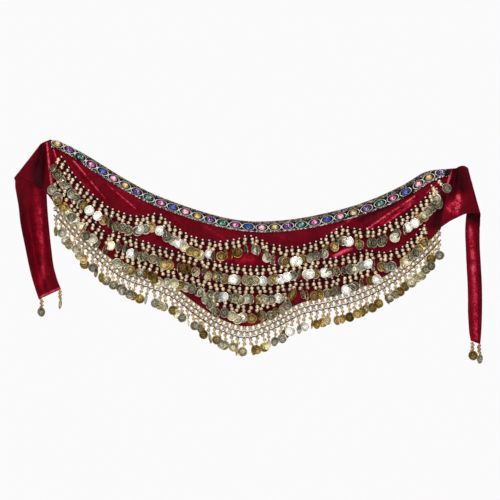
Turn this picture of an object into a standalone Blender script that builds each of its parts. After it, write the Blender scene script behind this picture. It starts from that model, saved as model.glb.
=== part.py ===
"""A velvet coin belt for dancing, hanging from its two ends as it is held up to be shown.

Tables and sizes are in millimetres, and objects are made in metres. X runs to the right along the belt, Y away from
the viewer and Z up. The origin is where the left end is pinched between finger and thumb.
"""

import math
from collections import namedtuple

import bmesh
import bpy
import numpy as np
from mathutils import Matrix, Vector
from mathutils.bvhtree import BVHTree

MM = 0.001

# Cloth walls and the clearances between pieces
PANEL_WALL = 1.6
TIE_WALL = 1.4
SEAM_GAP = 0.5
LAID_GAP = 0.35
PROBE_STEP = 2.5
# Points on a curve that is measured along its length
CURVE_SAMPLES = 400
EDGE_STEP = 2.0
PANEL_ROWS = 11
PANEL_COLUMNS_PER_SECTION = 4
TIE_ROWS_PER_SECTION = 2

# The velvet crescent, cut across at each section from its top edge to its hem
Section = namedtuple("Section", "top_x top_z hem_x hem_z")
PANEL_SECTIONS = (
    Section(5.5, 2.5, 13.5, -118.0),
    Section(26.5, -2.5, 28.5, -131.0),
    Section(68.5, -23.0, 64.5, -171.0),
    Section(108.5, -47.5, 104.5, -209.0),
    Section(152.0, -74.0, 148.0, -238.5),
    Section(195.0, -97.0, 192.0, -254.5),
    Section(239.5, -115.0, 237.5, -273.5),
    Section(286.0, -131.0, 283.0, -307.0),
    Section(334.5, -144.5, 332.5, -337.5),
    Section(384.0, -152.0, 382.0, -350.5),
    Section(431.5, -151.5, 431.5, -332.5),
    Section(482.5, -146.0, 482.5, -306.0),
    Section(530.0, -136.5, 530.0, -295.5),
    Section(580.5, -123.5, 579.5, -283.0),
    Section(630.0, -105.5, 629.0, -262.0),
    Section(676.5, -83.5, 676.5, -232.0),
    Section(721.0, -58.0, 714.5, -199.5),
    Section(769.5, -52.5, 748.5, -165.0),
)
SPAN = PANEL_SECTIONS[-1].top_x

# How the crescent stands out of the flat: it falls back in the middle, comes forward at the hem and waves there
FALL_BACK = 14.0
HEM_FORWARD = 16.0
HEM_WAVE = 4.5
HEM_WAVE_LENGTH = 150.0
HEM_WAVE_PHASE = 0.6

# Soft ridges and, where the height is negative, troughs, that run from one point to another
Fold = namedtuple("Fold", "x0 z0 x1 z1 height width")
PANEL_FOLDS = (
    Fold(2.0, -2.0, 13.0, -118.0, 9.0, 10.0),
    Fold(15.0, -17.0, 21.0, -46.0, 2.0, 6.0),
    Fold(51.0, -38.0, 108.0, -108.0, 4.0, 8.0),
    Fold(116.0, -86.0, 167.0, -127.0, 3.0, 8.0),
    Fold(62.0, -112.0, 158.0, -230.0, 3.0, 14.0),
    Fold(300.0, -162.0, 340.0, -188.0, 2.0, 8.0),
    Fold(388.0, -200.0, 380.0, -345.0, 2.5, 16.0),
    Fold(579.0, -148.0, 543.0, -171.0, 2.5, 8.0),
    Fold(617.0, -162.0, 547.0, -222.0, 5.0, 9.0),
    Fold(671.0, -118.0, 606.0, -167.0, 6.0, 8.0),
    Fold(686.0, -108.0, 625.0, -160.0, -3.0, 7.0),
    Fold(701.0, -99.0, 644.0, -152.0, 6.0, 8.0),
    Fold(718.0, -141.0, 633.0, -245.0, 3.0, 14.0),
    Fold(752.0, -112.0, 739.0, -160.0, -6.0, 12.0),
    Fold(771.0, -59.0, 758.0, -93.0, 5.0, 8.0),
)

# Each tie runs on from the crescent's end, folds over on a slant and hangs down behind itself.
# The first row of each is the seam, which the crescent's own end line gives.
TieRow = namedtuple("TieRow", "upper_x upper_z lower_x lower_z back belly ripple pleat")
LEFT_TIE_ROWS = (
    TieRow(3.0, 0.5, 13.0, -118.0, 0.0, 0.0, 0.0, 0.0),
    TieRow(1.0, 0.5, 2.5, -103.0, 0.0, 3.0, 0.0, 0.0),
    TieRow(-2.0, 0.0, -11.5, -92.0, 2.0, -4.0, 0.0, 0.0),
    TieRow(-5.0, -1.5, -26.5, -79.0, 2.0, -6.0, 0.0, 0.0),
    TieRow(-8.0, -3.0, -41.5, -71.0, 1.0, -2.0, 0.0, 0.0),
    TieRow(-10.5, -5.0, -56.0, -68.5, 0.0, 1.0, 0.0, 0.0),
    TieRow(-13.0, -7.0, -62.5, -70.0, 3.5, 0.0, 0.0, 0.0),
    TieRow(-11.5, -10.5, -61.5, -76.0, 7.5, 0.0, 0.0, 0.0),
    TieRow(-7.5, -27.0, -62.0, -86.0, 10.5, 0.0, 0.0, 0.0),
    TieRow(-3.5, -59.0, -59.5, -101.0, 11.0, 0.0, 1.0, 0.0),
    TieRow(-2.0, -104.0, -55.0, -124.0, 9.0, 0.0, 3.0, 0.0),
    TieRow(1.0, -150.0, -50.5, -158.0, 7.0, 0.0, 5.0, 0.0),
    TieRow(6.0, -199.0, -41.5, -201.5, 6.0, 0.0, 6.0, 0.0),
    TieRow(11.0, -237.0, -32.5, -245.0, 6.0, 0.0, 6.0, 0.0),
    TieRow(19.0, -266.0, -24.0, -276.5, 6.0, 0.0, 4.5, 0.0),
    TieRow(25.5, -282.0, -16.0, -301.0, 6.0, 0.0, 3.0, 0.0),
)
RIGHT_TIE_ROWS = (
    TieRow(771.5, -54.0, 748.5, -165.0, 0.0, 0.0, 0.0, 0.0),
    TieRow(777.0, -51.5, 764.0, -153.5, 0.0, 1.0, 0.0, 0.0),
    TieRow(783.0, -48.5, 779.0, -145.5, -1.0, 8.0, 0.0, 0.0),
    TieRow(788.5, -47.0, 793.5, -139.0, 0.0, 5.0, 0.0, 0.0),
    TieRow(794.0, -47.5, 808.5, -136.5, 1.0, 0.0, 0.0, 0.0),
    TieRow(798.5, -50.0, 820.0, -136.0, 1.0, 0.0, 0.0, 0.0),
    TieRow(800.5, -53.5, 824.0, -139.5, 4.5, 0.0, 0.0, 0.0),
    TieRow(799.5, -60.0, 824.0, -147.5, 8.5, 0.0, 0.0, 0.0),
    TieRow(798.0, -78.0, 824.5, -156.0, 11.0, 0.0, 0.0, 0.1),
    TieRow(796.5, -106.0, 824.5, -166.0, 11.5, 0.0, 0.0, 0.45),
    TieRow(796.0, -137.0, 824.0, -177.0, 10.0, 0.0, 0.5, 0.8),
    TieRow(796.0, -173.0, 824.0, -200.0, 8.0, 0.0, 1.0, 1.0),
    TieRow(798.0, -230.0, 826.0, -238.0, 7.0, 0.0, 1.2, 1.0),
    TieRow(800.5, -279.0, 828.0, -281.5, 6.0, 0.0, 1.2, 1.0),
    TieRow(801.0, -325.0, 828.0, -327.0, 6.0, 0.0, 1.0, 1.0),
    TieRow(803.5, -363.0, 826.5, -366.0, 6.0, 0.0, 0.5, 1.0),
    TieRow(806.5, -380.0, 824.5, -387.0, 6.0, 0.0, 0.0, 1.0),
)
RIPPLES = 1.6
RIPPLE_PHASE = 0.8
# A pleated tie is doubled: its upper edge lies in front, this far over, and the rest turns behind it at the bend
PLEAT_FRONT_WIDTH = 0.72
PLEAT_BEND = 0.42
PLEAT_TURN_FROM = 0.3
PLEAT_TURN_TO = 0.55
PLEAT_DEPTH = 4.5
PLEAT_DEPTH_COMES_BY = 0.35

# The jewelled ribbon on the top edge: its gems stand out of a plain band
TRIM_WIDTH = 17.5
TRIM_INSET = 0.8
# Right of the middle it has slipped down between these places, and the edge of the velvet shows above it
TRIM_SLIP = 4.0
TRIM_SLIP_FROM = 400.0
TRIM_SLIP_TO = 700.0
TRIM_SLIP_EASE = 60.0
TRIM_WALL = 1.2
TRIM_START = 9.0
TRIM_END_INSET = 3.0
GEMS = 31
GEM_COLUMNS = 4
TRIM_ROWS = 4
GEM_HEIGHT = 3.6
SETTING_HEIGHT = 0.9

# Drops: a column of two beads and a coin, hung from a stitched line. The coin swings clear of the beads below it.
# Reach is measured down the drop, near and far from what the drop lies on.
DropCut = namedtuple("DropCut", "reach half_width near far")
ROOT_HALF_WIDTH = 2.0
# Half the breadth of cloth that each piece rests on
LINE_REST = 9.0
TRIM_REST = 5.0
BEADS_REST = 8.5
COIN_REST = 9.5
LINE_HEIGHT = 3.5
LINE_WALL = 2.2
LAID_DROP = (
    DropCut(14.5, 2.8, 0.0, 4.6),
    DropCut(17.5, 3.5, 6.0, 7.2),
    DropCut(22.0, 9.0, 6.0, 7.2),
    DropCut(28.5, 9.0, 6.0, 7.2),
    DropCut(33.5, 3.5, 6.0, 7.2),
)
HUNG_DROP = (
    DropCut(16.0, 2.8, -2.3, 2.3),
    DropCut(18.0, 3.5, -0.6, 0.6),
    DropCut(22.5, 9.0, -0.6, 0.6),
    DropCut(30.0, 9.0, -0.6, 0.6),
    DropCut(35.5, 3.5, -0.6, 0.6),
)
BEADS_REACH = 7.5
COIN_REACH = 25.0
LAID_PITCH = 25.0
HUNG_PITCH = 21.5

# The stitched lines of coins, each a swag from one point to the next, which sags below the straight line
Swag = namedtuple("Swag", "name x0 z0 x1 z1 sag")
COIN_SWAGS = (
    Swag("coin_row_1_a", 24.0, -25.0, 203.0, -137.0, 43.0),
    Swag("coin_row_1_b", 212.0, -138.0, 381.0, -179.0, 29.5),
    Swag("coin_row_1_c", 390.0, -179.5, 556.0, -162.0, 30.5),
    Swag("coin_row_1_d", 565.0, -162.0, 738.0, -85.0, 33.0),
    Swag("coin_row_2_a", 23.0, -68.0, 118.0, -180.0, 8.0),
    Swag("coin_row_2_b", 127.0, -172.0, 304.0, -225.0, 3.0),
    Swag("coin_row_2_c", 312.0, -227.5, 470.0, -229.0, 10.5),
    Swag("coin_row_2_d", 478.0, -228.0, 609.0, -207.0, 5.0),
    Swag("coin_row_2_e", 617.0, -208.0, 720.0, -155.0, 22.0),
    Swag("coin_row_3_a", 130.0, -200.0, 248.0, -246.0, 5.0),
    Swag("coin_row_3_b", 256.0, -247.0, 474.0, -265.0, 17.0),
    Swag("coin_row_3_c", 482.0, -265.5, 624.0, -233.0, 8.0),
    Swag("coin_row_4", 294.0, -273.0, 456.0, -282.0, 32.0),
)
# Lean of the laid drops from the vertical, in degrees, at places along the belt
Lean = namedtuple("Lean", "x degrees")
LEANS = (
    Lean(0.0, -34.0),
    Lean(78.0, -38.0),
    Lean(105.0, -22.0),
    Lean(135.0, -10.0),
    Lean(380.0, 0.0),
    Lean(600.0, 5.0),
    Lean(750.0, 14.0),
)

# The openwork bead band below the hem, in four lengths, with its fringe of coin drops
BAND_HEIGHT = 24.0
BAND_WALL = 2.4
BAND_GAP = 0.6
BandLength = namedtuple("BandLength", "name start end")
BAND_LENGTHS = (
    BandLength("hem_fringe_a", 15.0, 195.5),
    BandLength("hem_fringe_b", 196.5, 381.5),
    BandLength("hem_fringe_c", 382.5, 567.5),
    BandLength("hem_fringe_d", 568.5, 746.0),
)

# A bead drop at each corner of each tie's end
CornerDrop = namedtuple("CornerDrop", "name x z y swing")
CORNER_DROPS = (
    CornerDrop("tie_drop_left_a", -10.8, -300.0, 5.5, 0.0),
    CornerDrop("tie_drop_left_b", 23.3, -284.4, 8.8, 3.0),
    CornerDrop("tie_drop_right_a", 809.5, -382.9, 5.8, -3.0),
    CornerDrop("tie_drop_right_b", 822.0, -387.6, 10.9, 3.0),
)
CORNER_HEAD = 2.0

# Finishes: colour, roughness and metallic value
Finish = namedtuple("Finish", "colour roughness metallic")
FINISHES = {
    "velvet": Finish((0.16, 0.003, 0.012), 0.85, 0.0),
    "jewel_ribbon": Finish((0.10, 0.09, 0.09), 0.45, 0.3),
    "gold": Finish((0.72, 0.56, 0.32), 0.30, 1.0),
}


def spline(rows, place):
    """The point at place on the smooth curve through rows, where row k lies at place k."""
    last = len(rows) - 1
    place = min(max(place, 0.0), last)
    first = min(int(place), last - 1)
    share = place - first
    before, start, end, after = (
        np.array(rows[min(max(k, 0), last)], float) for k in range(first - 1, first + 3)
    )
    bend = 2.0 * before - 5.0 * start + 4.0 * end - after
    twist = 3.0 * start - before - 3.0 * end + after
    return 0.5 * (2.0 * start + (end - before) * share + bend * share**2 + twist * share**3)


def smooth_step(low, high, value):
    """0 below low, 1 above high, and a smooth rise between them."""
    share = min(max((value - low) / (high - low), 0.0), 1.0)
    return share * share * (3.0 - 2.0 * share)


def fold_height(fold, x, z):
    """How far one fold lifts the cloth at a point."""
    along = np.array((fold.x1 - fold.x0, fold.z1 - fold.z0))
    off = np.array((x - fold.x0, z - fold.z0))
    share = min(max(float(off @ along / (along @ along)), 0.0), 1.0)
    distance = np.linalg.norm(off - share * along)
    return fold.height * math.exp(-((distance / fold.width) ** 2))


def panel_point(across, down):
    """A point of the crescent's middle surface: across runs over the sections, and down from 0 to 1 at the hem."""
    top_x, top_z, hem_x, hem_z = spline(PANEL_SECTIONS, across)
    x = top_x + (hem_x - top_x) * down
    z = top_z + (hem_z - top_z) * down
    middle = math.sin(math.pi * min(max(x / SPAN, 0.0), 1.0))
    wave = HEM_WAVE * down * math.sin(2.0 * math.pi * x / HEM_WAVE_LENGTH + HEM_WAVE_PHASE)
    proud = middle * (HEM_FORWARD * down**2 - FALL_BACK + wave)
    proud += sum(fold_height(fold, x, z) for fold in PANEL_FOLDS)
    return Vector((x, -proud, z))


def tie_point(rows, end_line, place, share):
    """A point of a tie's middle surface: place runs over the rows, and share from the upper edge to the lower."""

    def row_point(row):
        width, depth = share, 0.0
        if row.pleat:
            front = PLEAT_FRONT_WIDTH * (1.0 - share / PLEAT_BEND)
            behind = (share - PLEAT_BEND) / (1.0 - PLEAT_BEND)
            doubled = front if share < PLEAT_BEND else behind
            width = share + (doubled - share) * row.pleat
            depth = PLEAT_DEPTH * smooth_step(PLEAT_TURN_FROM, PLEAT_TURN_TO, share)
            depth *= min(1.0, row.pleat / PLEAT_DEPTH_COMES_BY)
        x = row.upper_x + (row.lower_x - row.upper_x) * width
        z = row.upper_z + (row.lower_z - row.upper_z) * width
        y = row.back + depth - row.belly * math.sin(math.pi * share)
        y += row.ripple * math.sin(2.0 * math.pi * RIPPLES * share + RIPPLE_PHASE)
        return (x, y, z)

    points = [tuple(end_line(share))] + [row_point(row) for row in rows[1:]]
    return Vector(spline(points, place))


def wall_mesh(columns, rows, skins):
    """A sheet with two skins, closed round its edge.

    skins(i, j) gives its back and front points at grid place i, j. Returns the bmesh and its corners by skin and place.
    """
    bm = bmesh.new()
    bmesh.ops.create_grid(bm, x_segments=columns, y_segments=rows, size=1.0)

    def place(vert):
        return round((vert.co.x + 1.0) / 2.0 * columns), round((vert.co.y + 1.0) / 2.0 * rows)

    corners = {("back", *place(vert)): vert for vert in bm.verts}
    made = bmesh.ops.extrude_face_region(bm, geom=bm.faces[:], use_keep_orig=True)
    for vert in made["geom"]:
        if isinstance(vert, bmesh.types.BMVert):
            corners[("front", *place(vert))] = vert
    for i in range(columns + 1):
        for j in range(rows + 1):
            back, front = skins(i, j)
            corners["back", i, j].co = back
            corners["front", i, j].co = front
    bmesh.ops.recalc_face_normals(bm, faces=bm.faces[:])
    return bm, corners


def normal_at(point, u, v):
    """The normal of the surface that point(u, v) gives, both from 0 to 1."""
    step = 1e-3
    along_u = point(min(u + step, 1.0), v) - point(max(u - step, 0.0), v)
    along_v = point(u, min(v + step, 1.0)) - point(u, max(v - step, 0.0))
    return along_u.cross(along_v).normalized()


def cloth_mesh(point, columns, rows, wall, seam_normal=None):
    """A cloth wall about the middle surface that point(u, v) gives, both from 0 to 1.

    seam_normal(u) gives the normal of the piece that its first row is sewn to, so that the two walls meet squarely.
    """

    def skins(i, j):
        u, v = i / columns, j / rows
        sewn = seam_normal is not None and j == 0
        half = (seam_normal(u) if sewn else normal_at(point, u, v)) * wall / 2.0
        return point(u, v) + half, point(u, v) - half

    return wall_mesh(columns, rows, skins)[0]


def extrude_to(bm, face, corners):
    """Extrudes a face, moves the new face's corners to those given in the face's own order, and returns it."""
    made = bmesh.ops.extrude_discrete_faces(bm, faces=[face])["faces"][0]
    for vert, corner in zip(made.verts, corners):
        vert.co = corner
    return made


def add_object(name, bm, finish):
    """Makes a named object of a bmesh in millimetres, with its material."""
    bmesh.ops.triangulate(bm, faces=bm.faces[:])
    bmesh.ops.recalc_face_normals(bm, faces=bm.faces[:])
    bm.transform(Matrix.Scale(MM, 4))
    mesh = bpy.data.meshes.new(name)
    bm.to_mesh(mesh)
    bm.free()
    mesh.materials.append(finish)
    made = bpy.data.objects.new(name, mesh)
    bpy.context.scene.collection.objects.link(made)
    return made


def make_finish(name):
    """A Principled material from the table of finishes."""
    finish = FINISHES[name]
    material = bpy.data.materials.new(name)
    material.use_nodes = True
    shader = material.node_tree.nodes["Principled BSDF"]
    shader.inputs["Base Color"].default_value = (*finish.colour, 1.0)
    shader.inputs["Roughness"].default_value = finish.roughness
    shader.inputs["Metallic"].default_value = finish.metallic
    return material


class Face:
    """The crescent's front face, for what lies on it."""

    def __init__(self, bm):
        self.tree = BVHTree.FromBMesh(bm)

    def y(self, x, z, reach):
        """The front-most Y of the face within reach of a point seen from the front."""
        far = 500.0
        offsets = np.linspace(-reach, reach, 2 * math.ceil(reach / PROBE_STEP) + 1)
        found = []
        for dx in offsets:
            for dz in offsets:
                start = Vector((x + dx, -far, z + dz))
                hit = self.tree.ray_cast(start, Vector((0.0, 1.0, 0.0)))[0]
                if hit is not None:
                    found.append(hit.y)
        return min(found)


class TopEdge:
    """The crescent's top edge as a line that is measured along its length."""

    def __init__(self):
        places = np.linspace(0.0, len(PANEL_SECTIONS) - 1.0, CURVE_SAMPLES)
        self.points = np.array([spline(PANEL_SECTIONS, place)[:2] for place in places])
        steps = np.linalg.norm(np.diff(self.points, axis=0), axis=1)
        self.lengths = np.concatenate(((0.0,), np.cumsum(steps)))
        self.length = self.lengths[-1]

    def at(self, length):
        """The point at a length along the edge, and the direction square to the edge, downwards."""
        here = self.sample(length)
        along = self.sample(length + EDGE_STEP) - self.sample(length - EDGE_STEP)
        along /= np.linalg.norm(along)
        return here, np.array((along[1], -along[0]))

    def sample(self, length):
        """The point at a length along the edge."""
        return np.array([np.interp(length, self.lengths, self.points[:, k]) for k in (0, 1)])


def hem_z(x):
    """The height of the crescent's hem at a place along the belt."""
    places = np.linspace(0.0, len(PANEL_SECTIONS) - 1.0, CURVE_SAMPLES)
    hem = np.array([spline(PANEL_SECTIONS, place)[2:] for place in places])
    return float(np.interp(x, hem[:, 0], hem[:, 1]))


def hem_y(x):
    """The Y of the crescent's hem at a place along the belt."""
    hem_xs = [section.hem_x for section in PANEL_SECTIONS]
    return panel_point(float(np.interp(x, hem_xs, range(len(hem_xs)))), 1.0).y


def lean_at(x):
    """The lean of a laid drop at a place along the belt, in radians."""
    degrees = np.interp(x, [lean.x for lean in LEANS], [lean.degrees for lean in LEANS])
    return math.radians(float(degrees))


def hang_drop(bm, face, sides, root, lean, cuts, base, coin_base):
    """Extrudes a drop from a face of its line, cut by cut.

    sides gives, for each corner of the face, -1 or 1 across the drop and whether it is on the near skin. base and
    coin_base are the Y that the bead column and the coin are measured from, towards the viewer.
    """
    down = Vector((math.sin(lean), 0.0, -math.cos(lean)))
    across = Vector((math.cos(lean), 0.0, math.sin(lean)))
    for number, cut in enumerate(cuts):
        behind = base if number == 0 else coin_base
        corners = []
        for side, near in sides:
            corner = root + down * cut.reach + across * (side * cut.half_width)
            corner.y = behind - (cut.far if near else cut.near)
            corners.append(corner)
        face = extrude_to(bm, face, corners)


def drop_root(bm, corners, column, last_row):
    """The face under one root of a line, and which side and skin each of its corners is on."""
    ring = (("back", 0), ("back", 1), ("front", 1), ("front", 0))
    places = {
        corners[skin, column + step, last_row]: (2 * step - 1, skin == "front") for skin, step in ring
    }
    face = bm.faces.get(list(places))
    return face, [places[vert] for vert in face.verts]


def root_places(start, end, pitch):
    """Where drops are rooted between two lengths, evenly and about a pitch apart."""
    count = max(1, round((end - start) / pitch))
    step = (end - start) / count
    return [start + (k + 0.5) * step for k in range(count)]


def line_stations(start, end, roots):
    """The lengths of a line's cuts: its ends, and both sides of each root."""
    inner = [root + side * ROOT_HALF_WIDTH for root in roots for side in (-1.0, 1.0)]
    return [start, *inner, end]


def make_coin_swag(swag, face, gold):
    """One stitched line of coin drops on the crescent."""
    share = np.linspace(0.0, 1.0, CURVE_SAMPLES)
    xs = swag.x0 + (swag.x1 - swag.x0) * share
    zs = swag.z0 + (swag.z1 - swag.z0) * share - 4.0 * swag.sag * share * (1.0 - share)
    lengths = np.concatenate(((0.0,), np.cumsum(np.hypot(np.diff(xs), np.diff(zs)))))
    roots = root_places(0.0, lengths[-1], LAID_PITCH)
    stations = line_stations(0.0, lengths[-1], roots)

    def on_line(length):
        return float(np.interp(length, lengths, xs)), float(np.interp(length, lengths, zs))

    def skins(i, j):
        x, z = on_line(stations[i])
        z -= LINE_HEIGHT * j
        y = face.y(x, z, LINE_REST) - LAID_GAP
        return Vector((x, y, z)), Vector((x, y - LINE_WALL, z))

    bm, corners = wall_mesh(len(stations) - 1, 1, skins)
    for number, length in enumerate(roots):
        x, z = on_line(length)
        lean = lean_at(x)
        root = Vector((x, 0.0, z - LINE_HEIGHT))
        beads = root + Vector((math.sin(lean), 0.0, -math.cos(lean))) * BEADS_REACH
        coin = root + Vector((math.sin(lean), 0.0, -math.cos(lean))) * COIN_REACH
        base = face.y(beads.x, beads.z, BEADS_REST) - LAID_GAP
        coin_base = min(base, face.y(coin.x, coin.z, COIN_REST) - LAID_GAP)
        under, sides = drop_root(bm, corners, 1 + 2 * number, 1)
        hang_drop(bm, under, sides, root, lean, LAID_DROP, base, coin_base)
    return add_object(swag.name, bm, gold)


def make_hem_fringe(band, gold):
    """One length of the bead band under the hem, with its fringe."""
    xs = np.linspace(band.start, band.end, CURVE_SAMPLES)
    zs = np.array([hem_z(x) for x in xs]) - BAND_GAP
    lengths = np.concatenate(((0.0,), np.cumsum(np.hypot(np.diff(xs), np.diff(zs)))))
    roots = root_places(0.0, lengths[-1], HUNG_PITCH)
    stations = line_stations(0.0, lengths[-1], roots)

    def on_band(length):
        return float(np.interp(length, lengths, xs)), float(np.interp(length, lengths, zs))

    def skins(i, j):
        x, z = on_band(stations[i])
        y = hem_y(x)
        z -= BAND_HEIGHT * j
        return Vector((x, y + BAND_WALL / 2.0, z)), Vector((x, y - BAND_WALL / 2.0, z))

    bm, corners = wall_mesh(len(stations) - 1, 1, skins)
    for number, length in enumerate(roots):
        x, z = on_band(length)
        root = Vector((x, 0.0, z - BAND_HEIGHT))
        under, sides = drop_root(bm, corners, 1 + 2 * number, 1)
        hang_drop(bm, under, sides, root, 0.0, HUNG_DROP, hem_y(x), hem_y(x))
    return add_object(band.name, bm, gold)


def make_corner_drop(drop, gold):
    """The bead drop at one corner of a tie's end."""

    def skins(i, j):
        x = drop.x + (2 * i - 1) * ROOT_HALF_WIDTH
        z = drop.z - j * CORNER_HEAD
        return Vector((x, drop.y + 1.0, z)), Vector((x, drop.y - 1.0, z))

    bm, corners = wall_mesh(1, 1, skins)
    root = Vector((drop.x, 0.0, drop.z - CORNER_HEAD))
    under, sides = drop_root(bm, corners, 0, 1)
    hang_drop(bm, under, sides, root, math.radians(drop.swing), HUNG_DROP, drop.y, drop.y)
    return add_object(drop.name, bm, gold)


def make_trim(face, ribbon):
    """The jewelled ribbon along the top edge, with a gem standing out of it at every pitch."""
    edge = TopEdge()
    start, end = TRIM_START, edge.length - TRIM_END_INSET
    columns = GEMS * GEM_COLUMNS

    def raised(i, j):
        along = 1.0 - abs(2.0 * (i % GEM_COLUMNS) / GEM_COLUMNS - 1.0)
        across = 1.0 - abs(2.0 * j / TRIM_ROWS - 1.0)
        gem = GEM_HEIGHT if along == 1.0 else SETTING_HEIGHT * (along > 0.0)
        return gem * across

    def skins(i, j):
        point, square = edge.at(start + (end - start) * i / columns)
        slipped = smooth_step(TRIM_SLIP_FROM, TRIM_SLIP_FROM + TRIM_SLIP_EASE, point[0])
        slipped -= smooth_step(TRIM_SLIP_TO - TRIM_SLIP_EASE, TRIM_SLIP_TO, point[0])
        x, z = point + square * (TRIM_INSET + TRIM_SLIP * slipped + TRIM_WIDTH * j / TRIM_ROWS)
        y = face.y(x, z, TRIM_REST) - LAID_GAP
        return Vector((x, y, z)), Vector((x, y - TRIM_WALL - raised(i, j), z))

    return add_object("jewel_trim", wall_mesh(columns, TRIM_ROWS, skins)[0], ribbon)


def crescent(along, down):
    """A point of the crescent's middle surface, along and down it from 0 to 1."""
    return panel_point(along * (len(PANEL_SECTIONS) - 1), down)


def make_panel(velvet):
    """The velvet crescent. Returns its object and its front face."""
    columns = (len(PANEL_SECTIONS) - 1) * PANEL_COLUMNS_PER_SECTION
    bm = cloth_mesh(crescent, columns, PANEL_ROWS, PANEL_WALL)
    face = Face(bm)
    return add_object("velvet_panel", bm, velvet), face


def make_tie(name, rows, end, outward, velvet):
    """One tie, sewn to the crescent's end, 0 or 1, which lies outward along X."""

    def end_line(share):
        return crescent(end, share) + Vector((outward * SEAM_GAP, 0.0, 0.0))

    last = len(rows) - 1
    bm = cloth_mesh(
        lambda share, place: tie_point(rows, end_line, place * last, share),
        PANEL_ROWS,
        last * TIE_ROWS_PER_SECTION,
        TIE_WALL,
        lambda share: -outward * normal_at(crescent, end, share),
    )
    return add_object(name, bm, velvet)


def main():
    """Builds the belt."""
    for old in list(bpy.data.objects):
        bpy.data.objects.remove(old)
    velvet, ribbon, gold = (make_finish(name) for name in ("velvet", "jewel_ribbon", "gold"))
    face = make_panel(velvet)[1]
    make_tie("left_tie", LEFT_TIE_ROWS, 0.0, -1.0, velvet)
    make_tie("right_tie", RIGHT_TIE_ROWS, 1.0, 1.0, velvet)
    make_trim(face, ribbon)
    for swag in COIN_SWAGS:
        make_coin_swag(swag, face, gold)
    for band in BAND_LENGTHS:
        make_hem_fringe(band, gold)
    for drop in CORNER_DROPS:
        make_corner_drop(drop, gold)


main()
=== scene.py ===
"""The looks of a velvet coin belt for dancing, hung from its two ends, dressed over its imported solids.

Sizes are in millimetres, as a maker writes them, and meshes are made in metres. X runs to the right along the
belt, Y away from the viewer and Z up, and the origin is where the left end is held.
"""

from __future__ import annotations

import logging
import math
import random
from collections.abc import Callable, Iterable, Sequence
from dataclasses import dataclass, field
from enum import Enum

import bmesh
import bpy
import numpy as np
from mathutils import Matrix, Vector, noise
from mathutils.bvhtree import BVHTree

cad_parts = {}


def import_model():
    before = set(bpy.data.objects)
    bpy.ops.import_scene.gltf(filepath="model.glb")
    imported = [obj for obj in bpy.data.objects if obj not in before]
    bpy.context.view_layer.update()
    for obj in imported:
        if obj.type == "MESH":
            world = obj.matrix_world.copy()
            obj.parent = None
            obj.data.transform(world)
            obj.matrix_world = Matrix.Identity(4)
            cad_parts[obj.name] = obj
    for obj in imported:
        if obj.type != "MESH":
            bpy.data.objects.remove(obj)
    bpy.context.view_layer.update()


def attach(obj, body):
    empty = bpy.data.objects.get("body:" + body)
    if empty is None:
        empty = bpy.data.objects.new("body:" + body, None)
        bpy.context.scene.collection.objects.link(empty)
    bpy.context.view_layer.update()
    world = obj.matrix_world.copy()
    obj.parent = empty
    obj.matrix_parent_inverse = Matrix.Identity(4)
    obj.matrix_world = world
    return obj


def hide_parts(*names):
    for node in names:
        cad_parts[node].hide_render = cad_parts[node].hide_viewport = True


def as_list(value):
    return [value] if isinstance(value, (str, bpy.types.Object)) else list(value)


LOG = logging.getLogger("coin_belt")
MM = 0.001
BODY = "root"
UV_MAP = "UVMap"
TINT = "tint"
# The mesh attribute of light painted along the velvet's folds: highlight above zero, shade below it.
PAINTED_LIGHT_MAP = "nap"
FACING = Matrix.Rotation(math.pi / 2.0, 4, "X")
STITCH_RADIUS = 0.28
Colour = tuple[float, float, float]
Rest = Callable[[Vector, float], float]
Steps = tuple[tuple[float, float], ...]


def smooth_step(low: float, high: float, value: float) -> float:
    """Returns 0 below low, 1 above high, and a smooth rise between them."""
    share = min(max((value - low) / (high - low), 0.0), 1.0)
    return share * share * (3.0 - 2.0 * share)


def lighten(colour: Colour, light: float) -> Colour:
    """Returns a colour that is so many times as bright, up to white."""
    return tuple(min(1.0, part * light) for part in colour)


def through(rows: Sequence[Sequence[float]], place: float) -> np.ndarray:
    """Finds a point on the smooth curve through rows.

    Args:
        rows: The points, of which row k lies at place k.
        place: Where to read the curve.

    Returns:
        The point, with as many numbers as a row.
    """
    last = len(rows) - 1
    place = min(max(place, 0.0), last)
    first = min(int(place), last - 1)
    share = place - first
    before, start, end, after = (np.array(rows[min(max(k, 0), last)]) for k in range(first - 1, first + 3))
    bend = 2.0 * before - 5.0 * start + 4.0 * end - after
    twist = 3.0 * start - before - 3.0 * end + after
    return 0.5 * (2.0 * start + (end - before) * share + bend * share**2 + twist * share**3)


class Track:
    """A line in the X and Z plane that is measured along its length."""

    def __init__(self, points: Iterable[Sequence[float]]) -> None:
        """Measures the line.

        Args:
            points: The points that it goes through, each an X and a Z.
        """
        self.points = np.array(list(points), float)
        steps = np.linalg.norm(np.diff(self.points, axis=0), axis=1)
        self.lengths = np.concatenate(((0.0,), np.cumsum(steps)))
        self.length = float(self.lengths[-1])

    def at(self, length: float) -> tuple[float, float]:
        """Returns X and Z at a length along the line."""
        x, z = (float(np.interp(length, self.lengths, self.points[:, k])) for k in (0, 1))
        return x, z

    def slope(self, length: float, reach: float = 3.0) -> float:
        """Measures how steep the line is.

        Args:
            length: Where, along the line.
            reach: How far to look each way.

        Returns:
            Its angle in radians up from X.
        """
        x0, z0 = self.at(length - reach)
        x1, z1 = self.at(length + reach)
        return math.atan2(z1 - z0, x1 - x0)

    def places(self, pitch: float) -> list[float]:
        """Returns lengths about a pitch apart, half a pitch in from each end."""
        count = max(1, round(self.length / pitch))
        return [self.length * (k + 0.5) / count for k in range(count)]


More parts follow.
